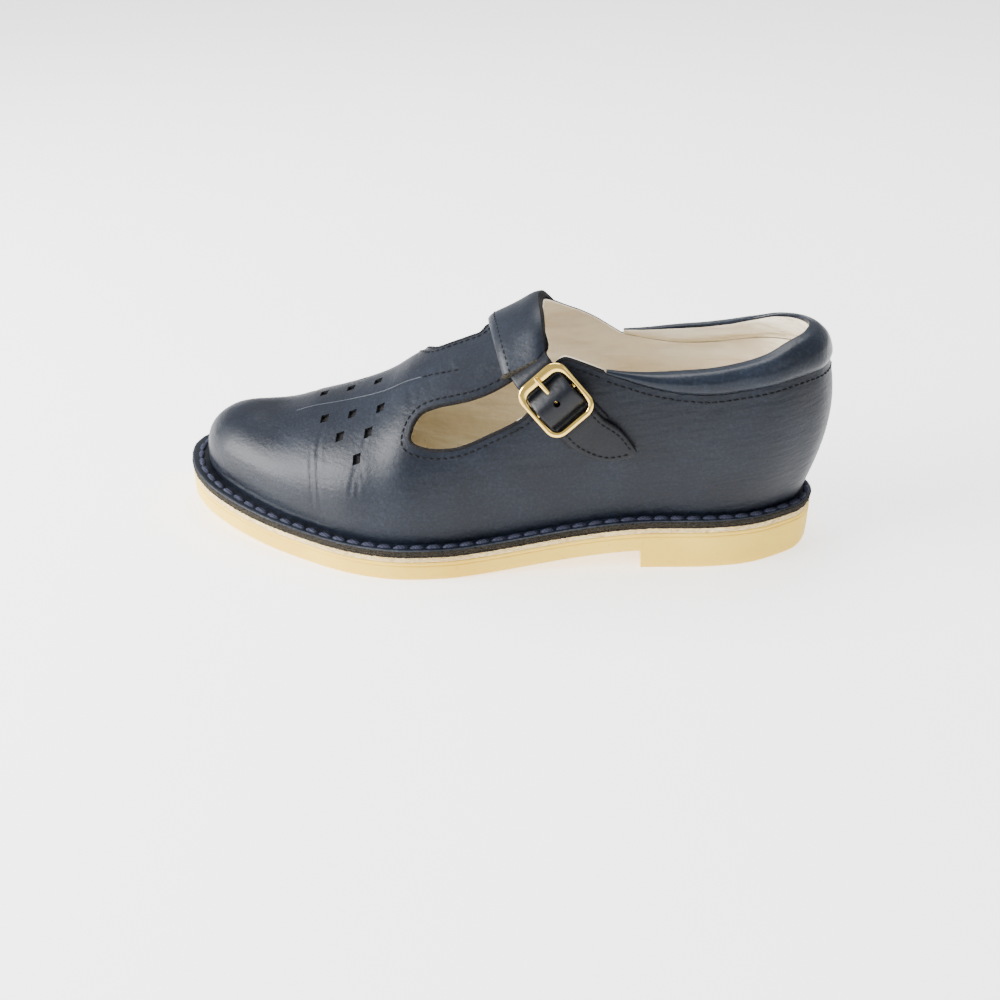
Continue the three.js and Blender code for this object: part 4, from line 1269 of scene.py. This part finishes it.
def collar_piece():
    """Padded roll on the topline, lined from a share of the way round its section."""
    lining_share = 0.585
    fade_span = (-0.02, 0.11)
    spokes, place, outer = collar_spokes(50, 90)
    at = spokes["at"]
    seam = collar_height("seam", place, outer) + gap
    top = collar_height("top", place, outer)
    end = np.where(outer, COLLAR[-1]["at"][-1], COLLAR[1]["at"][-1])
    full = smooth(end - place, *fade_span)
    bulge = roll_bulge * full
    thick = wall + (roll_thickness - wall) * full
    zero = np.zeros_like(full)
    profile = [
        (0.1 * bulge, zero), (0.9 * bulge, zero + 0.3), (bulge, zero + 0.6), (0.3 * bulge, zero + 0.9),
        (-0.3 * thick, zero + 1), (-0.6 * thick, zero + 0.97), (bulge - thick, zero + 0.75),
        (bulge - thick, zero + 0.4), (-wall - 0.25 * bulge, zero + 0.15), (zero - wall + 0.2, zero),
    ]
    corners = np.stack([np.column_stack(p) for p in profile], axis=1)
    rings = []
    for i in range(len(at)):
        curve = catmull(corners[i], 4)
        one = {key: np.full(len(curve), value[i]) for key, value in spokes.items()}
        rings.append(wall_points(one, seam[i] + (top[i] - seam[i]) * curve[:, 1], curve[:, 0]))
    n = len(rings[0])
    points, faces = loft(rings)
    kinds = np.zeros(len(faces), dtype=int)
    kinds[:(len(rings) - 1) * n] = np.tile(np.arange(n) >= lining_share * n, len(rings) - 1)
    obj = new_object("collar_roll", points, faces, ["collar", "lining"], kinds, 60)
    return finish_piece(obj, "collar_leather", "collar")


def strap_piece():
    frames = ribbon_frames(strap_line(), strap_width, 12)
    points, faces = band(frames, strap_thickness, 0.14)
    obj = new_object("buckle_strap", points, faces, ["strap", "edge"], band_kinds(faces, len(frames[0])), 50)
    hole = tube(in_frame(np.full(2, 0.6), np.zeros(2), np.array([1.0, 2 * ring_radius + strap_thickness])),
                strap_hole / 2, 20)
    cut(obj, *hole, "edge")
    shade(obj.data, 50)
    middle, across, up, half = frames
    stitched_from = 0.72
    tail = slice(int(len(middle) * stitched_from), len(middle) - 3)
    for side, name in ((-1, "lower"), (1, "upper")):
        inside = np.maximum(half[tail] - strap_stitch_inset, 0)[:, None]
        line = middle[tail] + across[tail] * side * inside - up[tail] * strap_thickness / 2
        keep = half[tail] > strap_stitch_inset + 0.8
        stitch_row("strap_stitches_" + name, line[keep], -up[tail][keep], "strap", "strap_leather")
    return finish_piece(obj, "strap_leather", "strap")


def rounded_rectangle(left, right, half, radius, count):
    """Closed outline of a rounded rectangle in the buckle's plane."""
    corners = [(right - radius, half - radius, 0), (left + radius, half - radius, 90),
               (left + radius, -half + radius, 180), (right - radius, -half + radius, 270)]
    pts = []
    for cx, cy, start in corners:
        for k in range(13):
            a = math.radians(start + 90 * k / 12)
            pts.append((cx + radius * math.cos(a), cy + radius * math.sin(a)))
    return resample(pts, count, closed=True)


def buckle_piece():
    """Cast frame with a wide front bar, rounded all over, and its round bar."""
    count = 160
    ring_count = 20
    outer = rounded_rectangle(-buckle_length / 2, buckle_length / 2, buckle_width / 2, buckle_corner, count)
    inner = rounded_rectangle(-buckle_length / 2 + buckle_front_bar, buckle_length / 2 - buckle_bar,
                              buckle_width / 2 - buckle_bar, buckle_corner - buckle_bar, count)
    rings = []
    for k in range(ring_count):
        phi = 2 * math.pi * k / ring_count
        across = math.copysign(abs(math.cos(phi)) ** 0.7, math.cos(phi))
        tall = math.copysign(abs(math.sin(phi)) ** 0.8, math.sin(phi)) * buckle_height / 2
        middle = (outer + inner) / 2
        uv = middle + (outer - middle) * across
        rings.append(in_frame(uv[:, 0], uv[:, 1], np.full(count, tall)))
    points = np.concatenate(rings)
    faces = grid_faces(ring_count, count, wrap=True)
    for j in range(count):
        a = (ring_count - 1) * count
        faces.append((a + j, a + (j + 1) % count, (j + 1) % count, j))
    obj = new_object("buckle_frame_cast", points, faces, ["brass"], smooth_angle=60)
    finish_piece(obj, "buckle_brass", "buckle_frame")
    half = buckle_width / 2 - buckle_bar / 2
    bar = tube(in_frame(np.zeros(9), np.linspace(-half, half, 9), np.zeros(9)), bar_diameter / 2, 20)
    finish_piece(new_object("buckle_bar", *bar, ["brass"], smooth_angle=60), "buckle_brass")


def tube(line, radius, sides=12):
    """Round rod along a line; the radius may change along it."""
    line = np.asarray(line, float)
    radius = np.broadcast_to(radius, len(line))
    tangent = unit(np.gradient(line, axis=0))
    hint = np.array([0.0, 0.0, 1.0])
    if abs(tangent[0] @ hint) > 0.9:
        hint = np.array([1.0, 0.0, 0.0])
    side = unit(np.cross(tangent, np.broadcast_to(hint, tangent.shape)))
    up = np.cross(side, tangent)
    phi = np.arange(sides) * 2 * math.pi / sides
    rings = [c + r * (np.outer(np.cos(phi), s) + np.outer(np.sin(phi), u))
             for c, r, s, u in zip(line, radius, side, up)]
    return loft(rings)


def prong_piece():
    """Pin curled round the bar, thinner in its curl, with its tip on the front bar."""
    high = buckle_height / 2 + gap + prong_diameter / 2 + 0.05
    turn = np.linspace(math.radians(-200), math.radians(90), 14)
    curl_radius = 0.65
    wrap = bar_diameter / 2 + gap + 0.5
    loop = [(wrap * math.cos(a) * 0.98, wrap * math.sin(a)) for a in turn]
    path = loop + [(-0.12 * buckle_length, high - 0.7), (-0.22 * buckle_length, high - 0.3),
                   (-0.36 * buckle_length, high), (-0.5 * buckle_length + 0.4, high)]
    per_span = 6
    path = catmull(path, per_span)
    line = in_frame(path[:, 0], np.zeros(len(path)), path[:, 1])
    radius = np.full(len(path), prong_diameter / 2)
    radius[:(len(turn) - 1) * per_span] = curl_radius
    radius[-5:] *= np.array([1.0, 0.97, 0.9, 0.75, 0.5])
    obj = new_object("buckle_prong_pin", *tube(line, radius, 16), ["brass"], smooth_angle=60)
    return finish_piece(obj, "buckle_brass", "buckle_prong")


def chape_piece():
    """Leather tab on the quarter that holds the buckle's bar."""
    stations = []
    for u in (0.7, 7, 13, chape_length):
        p = in_frame(u, 0, -buckle_lift)
        lift = 2.5 * gap + chape_thickness / 2
        stations.append((over_wall(float(p[0]), -1, float(p[2]), lift)[0], FRAME["v"], 1.0))
    root = stations[0][0]
    foot = float(np.dot(root - FRAME["point"], FRAME["n"]))
    loop = [(-1.9, foot + 1.2), (-1.8, 0.0), (-1.2, 1.45), (0.2, 1.8), (1.5, 1.2), (1.8, 0.0),
            (1.7, foot + 1.3)]
    lift = [(in_frame(u, 0, n), FRAME["v"], 0.72) for u, n in loop]
    frames = ribbon_frames(stations[::-1], strap_width + 2 * chape_margin, 8)
    points, faces = band(frames, chape_thickness, 0.14)
    plate = new_object("buckle_tab", points, faces, ["strap", "edge"], band_kinds(faces, len(frames[0])), 50)
    finish_piece(plate, "strap_leather", "buckle_chape")
    frames = ribbon_frames(lift, strap_width, 8)
    points, faces = band(frames, 0.9, 0.2)
    obj = new_object("buckle_loop", points, faces, ["strap"], smooth_angle=50)
    return finish_piece(obj, "strap_leather")


def stitch_row(name, line, normals, kind="fine", slot="upper_leather"):
    """Row of separate stitches along a line."""
    pitch, (length, width, height), sink, material = STITCHES[kind]
    run = run_of(line)
    total = run[-1]
    count = max(2, int(round(total / pitch)))
    rings, segments = 7, 8
    phi = np.arange(segments) * 2 * math.pi / segments
    points = []
    faces = []
    for i in range(count):
        s = (i + 0.5) / count * total
        centre = at_run(s, run, line)
        normal = unit(at_run(s, run, normals))
        tangent = unit(at_run(min(total, s + 0.6), run, line) - at_run(max(0, s - 0.6), run, line))
        slant = rng.normal(0, 0.03)
        tangent = unit(tangent + unit(np.cross(normal, tangent)) * slant)
        side = unit(np.cross(normal, tangent))
        stretch = length * (1 + rng.normal(0, 0.03))
        base = len(points)
        for t in np.linspace(-1, 1, rings):
            full = max(0.12, 1 - abs(t) ** 3) ** 0.5
            arc = height * (1 - 0.55 * t * t)
            middle = centre + tangent * t * stretch / 2 + normal * (arc / 2 - sink)
            points += list(middle + full / 2 * (np.outer(np.cos(phi), side) * width
                                                + np.outer(np.sin(phi), normal) * height))
        faces += grid_faces(rings, segments, base, wrap=True)
        faces.append(tuple(base + k for k in reversed(range(segments))))
        faces.append(tuple(base + (rings - 1) * segments + k for k in range(segments)))
    return finish_piece(new_object(name, points, faces, [material], smooth_angle=80), slot)


def skin_row(points, height, count):
    """Line over the skin through (x, across) points, with its normals."""
    line = resample(points, count)
    return over_skin(line[:, 0], line[:, 1], height), skin_normal(line[:, 0], line[:, 1])


def vamp_row(first, last, height, count):
    """Part of the vamp's middle line, with its normals."""
    x = along(np.linspace(first, last, count))
    return skin_row(np.column_stack([x, vamp_middle(x)]), height, count)


def side_line(table):
    """Top edge of a quarter in the side view."""
    return catmull(np.column_stack([along(table["at"]), np.array(table["up"]) * instep_height]), 12)


def ledge_stitches():
    """Thick thread on top of the ledge, all round."""
    ring = resample(inset(SOLE, 0.52 * ledge_at(share_of(SOLE[:, 0]))), 900, closed=True)
    ring = np.vstack([ring, ring[:1]])
    z = feather_height(share_of(ring[:, 0])) - 0.25
    line = np.column_stack([ring, z])
    normals = np.tile([0.0, 0.0, 1.0], (len(line), 1))
    stitch_row("ledge_stitches", line, normals, "ledge")


def fine_stitches():
    for name, table in WINDOWS.items():
        stitch_row(name + "_stitches", *skin_row(open_window(table, border), 0.0, 200))
    collar_stitches()
    edge_stitches("tab", TAB, -1)
    edge_stitches("inner_rise", {key: values[:-1] for key, values in INNER_RISE.items()}, 1)
    share = np.linspace(SLEEVE["at"][0], sleeve_seam_end, 60)
    x = along(column(SLEEVE, "front", share)) + sleeve_stitch_inset
    high = sleeve_height * column(SLEEVE, "raise", share) * 0.93
    across = share * instep_height
    stitch_row("sleeve_stitches", over_skin(x, across, high), skin_normal(x, across))
    stitch_row("vamp_stitches", *vamp_row(VAMP_CENTRE["at"][0], vamp_seam_end, 0.0, 60))


def edge_bead(name, line, radius, material="edge"):
    """Rounded rim along a cut edge."""
    obj = new_object(name, *tube(line, radius, 10), [material], smooth_angle=60)
    return finish_piece(obj, "upper_leather")


def open_window(table, grow):
    """Outline of a cut-out in (x, across), grown by a border and left open at its narrow hidden end."""
    at = np.linspace(table["at"][0], table["at"][-1], 60)
    edges = [np.column_stack([along(at), column(table, key, at) * instep_height]) for key in ("inner", "outer")]
    ring = resample(np.vstack([edges[0], edges[1][::-1]]), 240, closed=True)
    area = 0.5 * np.sum(ring[:, 0] * np.roll(ring[:, 1], -1) - np.roll(ring[:, 0], -1) * ring[:, 1])
    ring = inset(ring, -grow if area < 0 else grow)
    ring = (ring + np.roll(ring, 1, axis=0) + np.roll(ring, -1, axis=0)) / 3
    keep = ring[:, 0] < float(along(table["at"][0])) + 0.4 * grow
    start = int(np.argmax(~keep)) if (~keep).any() else 0
    return np.roll(ring, -start, axis=0)[np.roll(keep, -start)]


def edge_beads():
    for name, table in WINDOWS.items():
        edge_bead(name + "_rim", skin_row(open_window(table, 0.15), -0.4, 200)[0], 0.75)
    j = np.linspace(0, 1, 40)
    first = SLEEVE["at"][0]
    front = float(along(column(SLEEVE, "front", first)))
    rear = float(along(column(SLEEVE, "rear", first)))
    x = front + (rear - front) * j
    high = sleeve_height * (1 - sleeve_edge_drop * np.abs(2 * j - 1) ** 6)
    edge_bead("sleeve_rim", over_skin(x, np.full(40, first * instep_height), high - 0.9), 1.15, "fuzz")
    x, z = side_line(TAB).T
    edge_bead("tab_rim", over_wall(x, -1, z - 0.5, -0.9), 1.0)
    # Pressed line: a real low ridge whose pale bevel colour partly paints the highlight along it.
    edge_bead("vamp_pressed_line", vamp_row(vamp_seam_end, VAMP_CENTRE["at"][-1], -0.1, 80)[0], 0.28, "bevel")


def collar_stitches():
    """Row under the collar's seam, from the outer side round the heel to the inner side."""
    spokes, place, outer = collar_spokes(80, 60)
    line = wall_points(spokes, collar_height("seam", place, outer) - stitch_drop, 0)
    outwards = np.column_stack([spokes["dx"], spokes["dy"], np.zeros(len(place))])
    stitch_row("collar_stitches", line, outwards)


def edge_stitches(name, table, side):
    """Row a little below a top edge."""
    line = side_line(table)
    ahead = unit(np.gradient(line, axis=0))
    below = np.column_stack([ahead[:, 1], -ahead[:, 0]])
    below *= np.sign(-below[:, 1:2] - 1e-9)
    x, z = (line + below * stitch_drop).T
    stitch_row(name + "_stitches", wall_at(x, side, z), wall_normal(x, side, z))


outsole_piece()
midsole_piece()
ledge_piece()
insole_piece()
upper_piece()
lining_piece()
sleeve_piece()
collar_piece()
strap_piece()
buckle_piece()
prong_piece()
chape_piece()
ledge_stitches()
fine_stitches()
edge_beads()


def make_floor():
    mesh = bpy.data.meshes.new("floor")
    size = 6.0
    corners = [(-size, -size, 0), (size, -size, 0), (size, size, 0), (-size, size, 0)]
    mesh.from_pydata(corners, [], [(0, 1, 2, 3)])
    mesh.materials.append(floor_material())
    floor = bpy.data.objects.new("floor", mesh)
    bpy.context.scene.collection.objects.link(floor)


def area_light(name, place, target, size, power):
    data = bpy.data.lights.new(name, "AREA")
    data.shape = "RECTANGLE"
    data.size, data.size_y = size
    data.energy = power
    obj = bpy.data.objects.new(name, data)
    obj.location = place
    obj.rotation_euler = (Vector(target) - Vector(place)).to_track_quat("-Z", "Y").to_euler()
    bpy.context.scene.collection.objects.link(obj)


def make_world():
    world = bpy.data.worlds.new("studio")
    world.use_nodes = True
    back = world.node_tree.nodes["Background"]
    back.inputs["Color"].default_value = (0.94, 0.96, 1.0, 1)
    back.inputs["Strength"].default_value = 0.75
    bpy.context.scene.world = world


def make_camera():
    """The photograph's view: pixels of focal length on a 1000 pixel frame, and its angles."""
    focal_pixels = 1160
    frame_pixels = 1000
    sensor = 36
    pitch = math.radians(30.5)
    yaw = math.radians(-4.5)
    roll = math.radians(0.3)
    eye = Vector((0.0358, -0.4242, 0.262))
    forward = Vector((math.sin(yaw) * math.cos(pitch), math.cos(yaw) * math.cos(pitch), -math.sin(pitch)))
    right = Vector((math.cos(yaw), -math.sin(yaw), 0))
    up = right.cross(forward)
    right_rolled = right * math.cos(roll) + up * math.sin(roll)
    up_rolled = up * math.cos(roll) - right * math.sin(roll)
    data = bpy.data.cameras.new("camera")
    data.sensor_width = sensor
    data.lens = focal_pixels / frame_pixels * sensor
    data.clip_start = 0.01
    obj = bpy.data.objects.new("camera", data)
    turn = Matrix((right_rolled, up_rolled, -forward)).transposed()
    obj.matrix_world = Matrix.Translation(eye) @ turn.to_4x4()
    bpy.context.scene.collection.objects.link(obj)
    bpy.context.scene.camera = obj


make_floor()
make_world()
area_light("top", (-0.1, 0.5, 1.4), (0, 0, 0.03), (1.2, 0.8), 26)
area_light("key", (-1.05, -0.35, 0.45), (-0.05, 0, 0.03), (0.8, 0.6), 52)
area_light("side", (0.9, -0.7, 0.8), (0.03, 0, 0.04), (0.6, 0.6), 2)
make_camera()
